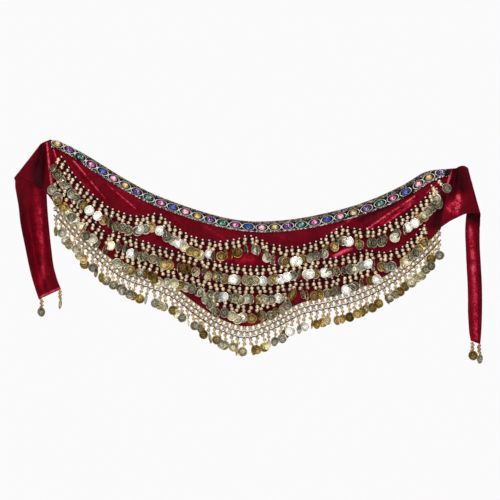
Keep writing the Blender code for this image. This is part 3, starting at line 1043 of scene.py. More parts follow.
@dataclass
class Crescent(Cloth):
    """The velvet crescent, cut across at each section from its top edge to its hem."""

    sections: tuple[tuple[float, float, float, float], ...] = (
        (5.5, 2.5, 13.5, -118),
        (26.5, -2.5, 28.5, -131),
        (68.5, -23, 64.5, -171),
        (108.5, -47.5, 104.5, -209),
        (152, -74, 148, -238.5),
        (195, -97, 192, -254.5),
        (239.5, -115, 237.5, -273.5),
        (286, -131, 283, -307),
        (334.5, -144.5, 332.5, -337.5),
        (384, -152, 382, -350.5),
        (431.5, -151.5, 431.5, -332.5),
        (482.5, -146, 482.5, -306),
        (530, -136.5, 530, -295.5),
        (580.5, -123.5, 579.5, -283),
        (630, -105.5, 629, -262),
        (676.5, -83.5, 676.5, -232),
        (721, -58, 714.5, -199.5),
        (769.5, -52.5, 748.5, -165),
    )
    # A fold's seventh number paints a highlight into the velvet, or shade where it is negative, as wide as
    # its eighth.
    folds: tuple[Fold, ...] = (
        Fold(0, -4, 13, -112, 9, 9, 1, 2.2),
        Fold(13, -16, 20.5, -44, 2.2, 3.5, 0.75, 1),
        Fold(51, -38, 110, -109, 4.2, 5.5, 0.75, 1),
        Fold(46, -46, 88, -100, -1.6, 5, 0.16, 9),
        Fold(116, -84, 167, -127, 3.2, 5, 0.62, 0.9),
        Fold(140, -92, 196, -126, 1.4, 6, 0.12, 5),
        Fold(62, -112, 158, -230, 3, 12),
        Fold(226, -128, 262, -164, 1.4, 5, 0.30, 1.2),
        Fold(300, -162, 340, -188, 2.2, 5.5, 0.30, 1.3),
        Fold(388, -200, 380, -345, 2.5, 14),
        Fold(340, -223, 392, -226, 0, 1, 0.24, 8),
        Fold(360, -297, 400, -300, 0, 1, 0.26, 8),
        Fold(374, -345, 394, -347, 0, 1, 0.30, 5),
        Fold(430, -178, 470, -190, 1.3, 7, 0.16, 3),
        Fold(545, -218, 579, -204, 2.4, 5, 0.62, 2.4),
        Fold(579, -148, 543, -171, 2.8, 5, 0.50, 2),
        Fold(617, -162, 547, -222, 5, 6.5, 0.20, 5),
        Fold(698, -105, 609, -166, 5.6, 4.6, 0.90, 1.1),
        Fold(694, -114, 622, -164, -2.6, 4, 0.38, 5.5),
        Fold(690, -122, 640, -160, 5.6, 4.6, 0.75, 1),
        Fold(660, -118, 596, -150, -2, 8, -0.75, 7),
        Fold(718, -141, 633, -245, 3, 12),
        Fold(752, -108, 739, -160, -6, 11, -0.85, 13),
        Fold(743, -80, 722, -98, 1.8, 4, 0.55, 1.3),
        Fold(768.5, -60, 758, -86, 5, 6, 0.95, 1.6),
    )
    span: float = 769.5
    fall_back: float = 14.0
    hem_forward: float = 16.0
    hem_wave: float = 4.5
    hem_wave_length: float = 150.0
    hem_wave_phase: float = 0.6
    edge_steps: int = 400
    seam_lines: tuple[float, ...] = (2.0, 17.0, -4.0)
    seam_steps: int = 230
    ray_start: float = -300.0
    tree: BVHTree | None = None

    def section(self, u: float) -> np.ndarray:
        """Returns the X and Z of the top edge and of the hem at u."""
        return through(self.sections, u * (len(self.sections) - 1))

    def point(self, u: float, v: float) -> Vector:
        """Finds a point of the middle surface.

        Args:
            u: Where it is along the sheet, from 0 to 1.
            v: Where it is down the sheet, likewise.

        Returns:
            The point.
        """
        top_x, top_z, hem_x, hem_z = self.section(u)
        x = top_x + (hem_x - top_x) * v
        z = top_z + (hem_z - top_z) * v
        middle = math.sin(math.pi * min(max(x / self.span, 0.0), 1.0))
        wave = self.hem_wave * v * math.sin(2.0 * math.pi * x / self.hem_wave_length + self.hem_wave_phase)
        proud = middle * (self.hem_forward * v**2 - self.fall_back + wave)
        proud += sum(fold.lift(x, z) for fold in self.folds)
        return Vector((x, -proud, z))

    def painted_gleam(self, v: float, spot: Vector) -> float:
        """Returns the light painted into the velvet at a spot."""
        return sum(fold.painted_gleam(spot.x, spot.z) for fold in self.folds)

    def settle(self, bm: bmesh.types.BMesh) -> None:
        """Keeps the front of the sheet, for what lies on it."""
        self.tree = BVHTree.FromBMesh(bm)

    def front(self, x: float, z: float, reach: float = 0.0) -> float:
        """Finds where something that lies on the crescent rests.

        Args:
            x: Where its middle is.
            z: Likewise.
            reach: How far it stretches each way.

        Returns:
            The Y of the foremost velvet under it.
        """
        offsets = (-reach, -reach / 2.0, 0.0, reach / 2.0, reach) if reach else (0.0,)
        found = []
        for dx in offsets:
            for dz in offsets:
                start = Vector((x + dx, self.ray_start, z + dz))
                hit = self.tree.ray_cast(start, Vector((0.0, 1.0, 0.0)))[0]
                if hit is not None:
                    found.append(hit.y)
        if not found:
            found = [self.tree.find_nearest(Vector((x, 0.0, z)))[0].y]
        return min(found) - self.wall / 2.0

    def down(self, u: float, distance: float) -> float:
        """Measures a way down the velvet.

        Args:
            u: Where, along the belt.
            distance: The way below the top edge, or above the hem where it is negative.

        Returns:
            The v there.
        """
        top_x, top_z, hem_x, hem_z = self.section(u)
        share = distance / math.hypot(hem_x - top_x, hem_z - top_z)
        return share if distance > 0.0 else 1.0 + share

    def top_edge(self) -> Track:
        """Returns the line of the top edge."""
        return Track(self.section(k / self.edge_steps)[:2] for k in range(self.edge_steps + 1))

    def hem(self) -> Track:
        """Returns the line of the hem."""
        return Track(self.section(k / self.edge_steps)[2:] for k in range(self.edge_steps + 1))

    def hem_y(self, x: float) -> float:
        """Finds how far back the hem is.

        Args:
            x: Where, along the belt.

        Returns:
            Its Y.
        """
        hems = [section[2] for section in self.sections]
        place = float(np.interp(x, hems, np.linspace(0.0, 1.0, len(hems))))
        return self.point(place, 1.0).y

    def sew(self, strands: Strands) -> None:
        """Sews the stitches that hold the ribbon and the openwork band.

        Args:
            strands: The thread.
        """
        for distance in self.seam_lines:
            shares = [k / self.seam_steps for k in range(self.seam_steps + 1)]
            self.stitch(strands, [(u, self.down(u, distance)) for u in shares])


@dataclass
class Tie(Cloth):
    """A tie that runs on from the crescent's end, folds over on a slant and hangs down behind itself.

    Each row gives upper X and Z, lower X and Z, how far back it lies, its belly, its ripple and its pleat.
    """

    crescent: Crescent = field(default_factory=lambda: Crescent("", "", 1, 1))
    end: float = 0.0
    table: tuple[tuple[float, ...], ...] = ()
    turned: float = 0.4
    upper_painted_gleams: tuple[Fold, ...] = ()
    lower_painted_gleams: tuple[Fold, ...] = ()
    seam_lap: float = 1.0
    ripples: float = 1.6
    ripple_phase: float = 0.8
    pleat_front: float = 0.72
    pleat_bend: float = 0.42
    pleat_depth: float = 4.5
    pleat_full: float = 0.35
    pleat_edges: tuple[float, float] = (0.3, 0.55)
    seams: tuple[float, float] = (0.008, 0.985)
    seam_steps: int = 16

    def row_point(self, row: tuple[float, ...], share: float) -> tuple[float, float, float]:
        """Finds a point of one row.

        Args:
            row: The row of the table.
            share: Where, from its upper edge to its lower.

        Returns:
            Its X, Y and Z.
        """
        upper_x, upper_z, lower_x, lower_z, back, belly, ripple, pleat = row
        width, depth = share, 0.0
        if pleat:
            front = self.pleat_front * (1.0 - share / self.pleat_bend)
            behind = (share - self.pleat_bend) / (1.0 - self.pleat_bend)
            width += ((front if share < self.pleat_bend else behind) - share) * pleat
            depth = self.pleat_depth * smooth_step(*self.pleat_edges, share)
            depth *= min(1.0, pleat / self.pleat_full)
        y = back + depth - belly * math.sin(math.pi * share)
        y += ripple * math.sin(2.0 * math.pi * self.ripples * share + self.ripple_phase)
        return upper_x + (lower_x - upper_x) * width, y, upper_z + (lower_z - upper_z) * width

    def point(self, u: float, v: float) -> Vector:
        """Finds a point of the middle surface.

        Args:
            u: Where it is across, from the upper edge.
            v: Where it is along, from the seam.

        Returns:
            The point.
        """
        place = v * len(self.table)
        near = range(max(0, int(place) - 1), min(len(self.table), int(place) + 2) + 1)
        rows = []
        for k in near:
            if k:
                rows.append(self.row_point(self.table[k - 1], u))
            else:
                seam = self.crescent.point(self.end, u)
                inward = self.seam_lap if self.end == 0.0 else -self.seam_lap
                rows.append((seam.x + inward, seam.y + self.seam_lap / 2.0, seam.z))
        return Vector(through(rows, place - near[0]))

    def painted_gleam(self, v: float, spot: Vector) -> float:
        """Returns the light painted into the velvet at a spot, on the stretch that is held or the one that
        hangs.
        """
        folds = self.lower_painted_gleams if v > self.turned else self.upper_painted_gleams
        return sum(fold.painted_gleam(spot.x, spot.z) for fold in folds)

    def sew(self, strands: Strands) -> None:
        """Sews its two seams."""
        for v in self.seams:
            self.stitch(strands, [(k / self.seam_steps, v) for k in range(self.seam_steps + 1)])


class Metal(Enum):
    """Platings, as the colours that the coins and beads are tinted with."""

    MIRROR = (0.76, 0.76, 0.70)
    PALE_GOLD = (0.78, 0.70, 0.47)
    SILVER = (0.68, 0.65, 0.51)
    GOLD = (0.72, 0.52, 0.20)
    OLD_GOLD = (0.46, 0.30, 0.09)
    BEAD = (0.84, 0.67, 0.46)
    HEM_BEAD = (0.62, 0.45, 0.23)
    PEARL = (1.0, 0.86, 0.80)
    ROSE_GOLD = (0.44, 0.25, 0.13)
    LUREX = (0.56, 0.42, 0.37)
    PEWTER = (0.09, 0.09, 0.08)
    STEEL = (0.98, 0.96, 0.90)


class Gem(Enum):
    """Stones, in the order in which they follow each other along the ribbon."""

    PURPLE = (0.19, 0.01, 0.34)
    GREEN = (0.01, 0.24, 0.15)
    MAGENTA = (0.76, 0.07, 0.42)
    BLUE = (0.03, 0.10, 0.58)
    PINK = (1.0, 0.25, 0.46)
    YELLOW = (0.84, 0.52, 0.06)


def turned_disc(sides: int, radius: float, height: float) -> bmesh.types.BMesh:
    """Makes a disc that stands on the XY plane.

    Args:
        sides: How many sides it has.
        radius: Its radius.
        height: Its thickness.

    Returns:
        The disc.
    """
    bm = bmesh.new()
    bmesh.ops.create_circle(bm, cap_ends=True, segments=sides, radius=radius)
    made = bmesh.ops.extrude_face_region(bm, geom=bm.faces[:], use_keep_orig=True)["geom"]
    raised = [part for part in made if isinstance(part, bmesh.types.BMVert)]
    bmesh.ops.translate(bm, vec=(0.0, 0.0, height), verts=raised)
    bmesh.ops.recalc_face_normals(bm, faces=bm.faces[:])
    return bm


def inset_steps(bm: bmesh.types.BMesh, face: bmesh.types.BMFace, steps: Steps) -> None:
    """Insets a face again and again."""
    for width, height in steps:
        bmesh.ops.inset_individual(bm, faces=[face], thickness=width, depth=height)


def face_height(face: bmesh.types.BMFace) -> float:
    """Returns how high the middle of a face is."""
    return face.calc_center_median().z


@dataclass
class Findings:
    """The small metal and glass shapes that are sewn on."""

    coin_radius: float = 9.5
    coin_thickness: float = 0.7
    coin_sides: int = 20
    coin_front: Steps = ((0.25, 0.12), (0.75, 0.0), (0.3, -0.25), (3.0, 0.0))
    coin_back: Steps = ((0.9, 0.0), (0.3, -0.15))
    star_height: float = 0.35
    boss_height: float = 0.3
    gem_sides: int = 12
    gem_girdle: float = 0.25
    gem_facets: Steps = ((0.2, 0.35), (0.28, 0.3), (0.08, 0.1))
    bead: Shape = field(init=False)
    seed: Shape = field(init=False)
    coin: Shape = field(init=False)
    ring: Shape = field(init=False)
    setting: Shape = field(init=False)
    gem: Shape = field(init=False)
    loop: Shape = field(init=False)

    def __post_init__(self) -> None:
        """Makes each shape once."""
        self.bead = self.make_bead(10, 7, 0.92)
        self.seed = self.make_bead(7, 5, 1.0)
        self.coin = self.make_coin()
        self.ring = self.make_ring(11.7, 6.4, 0.95, 28)
        self.setting = self.make_ring(7.9, 4.7, 0.4, 18)
        self.gem = self.make_gem(7.6, 4.6, 3.4)
        self.loop = self.make_ring(1.9, 1.9, 0.35, 8)

    @staticmethod
    def make_bead(sides: int, rings: int, flatten: float) -> Shape:
        """Makes a bead of 1 mm radius.

        Args:
            sides: How many sides it has.
            rings: How many rings.
            flatten: Its length along its hole.

        Returns:
            The shape.
        """
        bm = bmesh.new()
        bmesh.ops.create_uvsphere(bm, u_segments=sides, v_segments=rings, radius=1.0)
        bmesh.ops.scale(bm, vec=(1.0, 1.0, flatten), verts=bm.verts[:])
        return Shape(bm, 60.0)

    def make_coin(self) -> Shape:
        """Makes a coin that faces +Z.

        Returns:
            A coin with a rim and a star in front, and a rim behind.
        """
        bm = turned_disc(self.coin_sides, self.coin_radius, self.coin_thickness)
        front, back = max(bm.faces, key=face_height), min(bm.faces, key=face_height)
        inset_steps(bm, front, self.coin_front)
        star = sorted(front.verts, key=lambda vert: math.atan2(vert.co.y, vert.co.x))
        bmesh.ops.translate(bm, vec=(0.0, 0.0, self.star_height), verts=star[::2])
        bmesh.ops.poke(bm, faces=[front], offset=self.boss_height)
        inset_steps(bm, back, self.coin_back)
        bmesh.ops.translate(bm, vec=(0.0, 0.0, -self.coin_thickness / 2.0), verts=bm.verts[:])
        return Shape(bm, 28.0)

    @staticmethod
    def make_ring(half_length: float, half_width: float, tube: float, steps: int) -> Shape:
        """Makes an oval ring of cord, in the XY plane.

        Args:
            half_length: From its middle to its cord's middle, along X.
            half_width: The same along Y.
            tube: The cord's radius.
            steps: How many sides the oval has.

        Returns:
            The shape.
        """
        bm = bmesh.new()
        bmesh.ops.create_circle(bm, segments=6, radius=tube, matrix=FACING)
        bmesh.ops.translate(bm, vec=(half_length, 0.0, 0.0), verts=bm.verts[:])
        axis, middle = (0.0, 0.0, 1.0), (0.0, 0.0, 0.0)
        turn = {"axis": axis, "cent": middle, "angle": math.tau, "steps": steps, "use_merge": True}
        bmesh.ops.spin(bm, geom=bm.edges[:], **turn)
        bmesh.ops.scale(bm, vec=(1.0, half_width / half_length, 1.0), verts=bm.verts[:])
        return Shape(bm, 70.0)

    def make_gem(self, half_length: float, half_width: float, height: float) -> Shape:
        """Makes an oval stone with a table and two tiers of facets, which faces +Z.

        Args:
            half_length: Half its length.
            half_width: Half its width.
            height: Its scale upwards.

        Returns:
            The shape.
        """
        bm = turned_disc(self.gem_sides, 1.0, self.gem_girdle)
        inset_steps(bm, max(bm.faces, key=face_height), self.gem_facets)
        bmesh.ops.triangulate(bm, faces=[face for face in bm.faces if len(face.verts) == 4])
        bmesh.ops.scale(bm, vec=(half_length, half_width, height), verts=bm.verts[:])
        return Shape(bm)


@dataclass(frozen=True)
class Workshop:
    """What is used for everything that is sewn on: the velvet, the shapes and the materials."""

    crescent: Crescent
    findings: Findings
    wardrobe: Wardrobe


@dataclass(frozen=True)
class Hang:
    """A drop's anatomy: how far below its root each thing on it hangs, and the beads' radius."""

    beads: tuple[float, ...] = (6.6, 13.6)
    bead_radius: float = 4.0
    coin: float = 27.6
    zigzag: float = 1.4
    coin_gap: float = 0.8

    def free(self, behind: float) -> Rest:
        """Returns the rest of a drop that has no cloth behind it, and so keeps to the Y of its root."""
        return lambda spot, reach: behind + (self.bead_radius if reach < self.bead_radius else self.coin_gap)


@dataclass
class DropMaker:
    """Hangs drops, and gathers their coins, beads and threads.

    The spreads say how much drops differ: in radians for a turn, in millimetres for a length, and as a share
    for a size. A bright coin is turned so that it mirrors the light, which changes a little over the belt.
    """

    shop: Workshop
    seed: int
    metal: Metal = Metal.BEAD
    golden: float = 1.0
    platings: tuple[tuple[Metal, float], ...] = (
        (Metal.PALE_GOLD, 0.30),
        (Metal.SILVER, 0.42),
        (Metal.GOLD, 0.17),
        (Metal.OLD_GOLD, 0.11),
    )
    thread_radius: float = 0.75
    seed_radius: float = 1.8
    bead_sizes: tuple[float, float] = (0.92, 1.06)
    bead_tints: float = 0.16
    bead_turn: float = 0.6
    bead_gap: float = 0.2
    bead_share: float = 0.6
    zigzags: tuple[float, float] = (0.4, 1.1)
    yaws: tuple[float, float] = (0.0, 0.34)
    pitches: tuple[float, float] = (0.04, 0.10)
    edge_on_share: float = 0.32
    edge_on_yaws: tuple[float, float] = (0.65, 1.35)
    flash_yaw: tuple[float, float, float] = (0.044, -0.000345, 0.12)
    flash_pitch: tuple[float, float, float] = (-0.108, 0.000346, 0.3)
    rolls: tuple[float, float] = (0.0, 0.07)
    coin_tints: float = 0.22
    bright_tints: float = 0.02
    coin_spread: float = 1.3
    coin_gap: float = 0.9
    coin_share: float = 0.8
    turned_share: float = 0.75
    tipped_share: float = 0.4
    eye_inset: float = 1.0
    loop_rise: float = 0.6
    thread_rise: float = 1.5
    layers: tuple[float, ...] = (0.4, 1.6, 2.8)
    bright_layer: float = 3.2

    def __post_init__(self) -> None:
        """Starts with no drops."""
        self.findings = self.shop.findings
        self.chance = random.Random(self.seed)
        self.coins = Cluster()
        self.beads = Cluster()
        self.seeds = Cluster()
        self.threads = Strands(self.thread_radius)

    def tint(self, metal: Metal, spread: float = 0.08) -> Colour:
        """Returns a plating's colour, a little lighter or darker."""
        return lighten(metal.value, 1.0 + self.chance.uniform(-spread, spread))

    def plating(self) -> Colour:
        """Chooses the plating of one coin.

        Returns:
            Its colour.
        """
        metals = [metal for metal, _ in self.platings]
        weights = []
        for metal, weight in self.platings:
            weights.append(weight if metal is Metal.SILVER else weight * self.golden)
        return self.tint(self.chance.choices(metals, weights)[0], self.coin_tints)

    def seed_bead(self, place: Vector) -> None:
        """Adds the small bead that a drop is sewn on with."""
        spot = Matrix.Translation(place) @ Matrix.Scale(self.seed_radius, 4)
        self.seeds.add(self.findings.seed, spot, self.tint(Metal.PEARL))

    def aim(self, root: Vector, bright: bool) -> tuple[float, float]:
        """Chooses how a coin hangs.

        Args:
            root: Where its drop is sewn on.
            bright: Whether it faces the light.

        Returns:
            How far it is turned about its string and how far it is tipped, in radians.
        """
        yaw, pitch = self.chance.gauss(*self.yaws), self.chance.gauss(*self.pitches)
        if self.chance.random() < self.edge_on_share:
            yaw = self.chance.choice((-1.0, 1.0)) * self.chance.uniform(*self.edge_on_yaws)
        if bright:
            start, per_x, spread = self.flash_yaw
            yaw = start + per_x * root.x + yaw * spread
            start, per_z, spread = self.flash_pitch
            pitch = start + per_z * root.z + pitch * spread
        return yaw, pitch

    def string(self, root: Vector, lean: float, hang: Hang, rest: Rest) -> list[Vector]:
        """Hangs the beads of one drop.

        Args:
            root: Where it is sewn on.
            lean: Its angle from the vertical, in radians.
            hang: Its anatomy.
            rest: Gives the Y that a thing of some reach rests at, at a point.

        Returns:
            The places of the beads.
        """
        down = Vector((math.sin(lean), 0.0, -math.cos(lean)))
        side = self.chance.choice((-1.0, 1.0)) * self.chance.uniform(*self.zigzags) * hang.zigzag
        places = []
        for reach in hang.beads:
            spot = root + down * reach
            spot.y = rest(spot, hang.bead_radius * self.bead_share) - hang.bead_radius - self.bead_gap
            spot.x += side
            side = -side
            radius = hang.bead_radius * self.chance.uniform(*self.bead_sizes)
            turn = Matrix.Rotation(self.chance.uniform(-self.bead_turn, self.bead_turn) - lean, 4, "Y")
            place = Matrix.Translation(spot) @ turn @ Matrix.Scale(radius, 4)
            self.beads.add(self.findings.bead, place, self.tint(self.metal, self.bead_tints))
            places.append(spot)
        return places

    def drop(
        self,
        root: Vector,
        lean: float,
        hang: Hang,
        rest: Rest,
        bright: bool = False,
        turned: float | None = None,
    ) -> None:
        """Hangs one drop.

        Args:
            root: Where it is sewn on.
            lean: Its angle from the vertical, in radians.
            hang: Its anatomy.
            rest: Gives the Y that a thing of some reach rests at, at a point.
            bright: Whether its coin is a new one that faces the light.
            turned: How far its coin is turned about its string, in radians, or none for chance.
        """
        path = [root, *self.string(root, lean, hang, rest)]
        yaw, pitch = self.aim(root, bright)
        if turned is not None:
            yaw = turned
        roll = lean + self.chance.gauss(*self.rolls)
        radius = self.findings.coin_radius
        length = hang.coin + self.chance.gauss(0.0, self.coin_spread)
        centre = root + Vector((math.sin(roll), 0.0, -math.cos(roll))) * length
        clear = self.coin_gap + radius * math.sin(abs(yaw)) * self.turned_share
        clear += radius * abs(pitch) * self.tipped_share
        layer = self.bright_layer if bright else self.chance.choice(self.layers)
        centre.y = rest(centre, radius * self.coin_share) - clear - layer
        upright = Matrix.Rotation(-roll, 4, "Y")
        aim = Matrix.Rotation(yaw, 4, "Z") @ Matrix.Rotation(pitch, 4, "X")
        turn = aim @ upright if bright else upright @ aim
        place = Matrix.Translation(centre) @ turn @ FACING
        spin = Matrix.Rotation(self.chance.uniform(0.0, math.tau), 4, "Z")
        tint = self.tint(Metal.MIRROR, self.bright_tints) if bright else self.plating()
        self.coins.add(self.findings.coin, place @ spin, tint)
        top = place @ Vector((0.0, radius - self.eye_inset, 0.0))
        edgeways = Matrix.Rotation(math.pi / 2.0, 4, "Y")
        ring = Matrix.Translation(top + Vector((0.0, 0.0, self.loop_rise))) @ turn @ edgeways
        self.coins.add(self.findings.loop, ring, self.tint(Metal.GOLD))
        path.append(top + Vector((0.0, 0.0, self.thread_rise)))
        self.threads.add(path)

    def finish(self, name: str, *nodes: str) -> list[bpy.types.Object]:
        """Makes the pieces.

        Args:
            name: What their names start with.
            nodes: The solids that the coins replace.

        Returns:
            The pieces.
        """
        wardrobe = self.shop.wardrobe
        made = [
            finish_piece(self.coins.finish(f"{name}_coins"), wardrobe.coins, *nodes),
            finish_piece(self.beads.finish(f"{name}_beads"), wardrobe.beads),
            finish_piece(self.threads.finish(f"{name}_threads"), wardrobe.thread),
        ]
        if self.seeds.bm.verts:
            made.append(finish_piece(self.seeds.finish(f"{name}_seeds"), wardrobe.pearls))
        return made


@dataclass(frozen=True)
class Swag:
    """A stitched line from one point to another, which sags below the straight line."""

    x0: float
    z0: float
    x1: float
    z1: float
    sag: float
    steps: int = 60

    def points(self) -> Iterable[tuple[float, float]]:
        """Follows the line.

        Returns:
            Points along it, each an X and a Z.
        """
        for share in np.linspace(0.0, 1.0, self.steps):
            sunk = 4.0 * self.sag * share * (1.0 - share)
            yield self.x0 + (self.x1 - self.x0) * share, self.z0 + (self.z1 - self.z0) * share - sunk


@dataclass
class CoinRow:
    """One row of coin drops on the crescent, sewn on along its swags.

    Bright lists the places along the belt where a newer coin catches the light. Extras are single drops
    beside the row, each with its X, Z and lean in degrees. Leans say how much drops lean at places along the
    belt. Each round of crochet behind them has its way below the roots and the height of its loops.
    """

    name: str
    nodes: tuple[str, ...]
    swags: tuple[Swag, ...]
    seed: int
    bright: tuple[float, ...] = ()
    extras: tuple[tuple[float, float, float], ...] = ()
    pitch: float = 11.7
    hang: Hang = Hang()
    leans: tuple[tuple[float, float], ...] = (
        (0, -30),
        (78, -34),
        (105, -20),
        (135, -8),
        (380, 0),
        (600, 4),
        (750, 10),
    )
    lean_spread: float = 0.08
    root_spread: float = 1.2
    root_lift: float = 1.2
    crochet_radius: float = 1.1
    rounds: tuple[tuple[float, float], ...] = ((0.5, 3.4), (5.6, 3.8), (9.2, -3.4), (13.0, 3.0))
    round_steps: int = 5
    round_lift: float = 0.9

    def lean(self, x: float) -> float:
        """Returns the lean of a drop at a place along the belt, in radians."""
        places, degrees = zip(*self.leans)
        return math.radians(float(np.interp(x, places, degrees)))

    def build(self, shop: Workshop) -> list[bpy.types.Object]:
        """Sews the row on.

        Args:
            shop: The velvet, shapes and materials.

        Returns:
            Its coins, beads, threads, small beads and crochet.
        """
        crescent, maker, chain = shop.crescent, DropMaker(shop, self.seed), Strands(self.crochet_radius)

        def rest(spot: Vector, reach: float) -> float:
            """Returns the Y of the velvet under a point."""
            return crescent.front(spot.x, spot.z, reach)

        track = Track(point for swag in self.swags for point in swag.points())
        places = [track.at(length) for length in track.places(self.pitch)]
        self.crochet(chain, places, crescent)
        roots = [(x, z, self.lean(x) + maker.chance.gauss(0.0, self.lean_spread)) for x, z in places]
        roots += [(x, z, math.radians(degrees)) for x, z, degrees in self.extras]
        newest = {min(range(len(roots)), key=lambda k: abs(roots[k][0] - x)) for x in self.bright}
        for number, (x, z, lean) in enumerate(roots):
            x += maker.chance.uniform(-self.root_spread, self.root_spread)
            z += maker.chance.uniform(-self.root_spread, self.root_spread)
            root = Vector((x, crescent.front(x, z) - self.root_lift, z))
            maker.seed_bead(root)
            maker.drop(root, lean, self.hang, rest, number in newest)
        crochet = finish_piece(chain.finish(f"{self.name}_crochet"), shop.wardrobe.thread)
        return [*maker.finish(self.name, *self.nodes), crochet]

    def crochet(self, chain: Strands, places: list[tuple[float, float]], crescent: Crescent) -> None:
        """Works rounds of crochet loops from each root to the next, one under another.

        Args:
            chain: The thread.
            places: The roots, each an X and a Z.
            crescent: The velvet behind them.
        """
        for drop, height in self.rounds:
            path = []
            for (x0, z0), (x1, z1) in zip(places, places[1:]):
                for step in range(self.round_steps):
                    share = step / self.round_steps
                    x = x0 + (x1 - x0) * share
                    z = z0 + (z1 - z0) * share - drop - height * math.sin(math.pi * share)
                    path.append(Vector((x, crescent.front(x, z) - self.round_lift, z)))
            if path:
                chain.add(path)


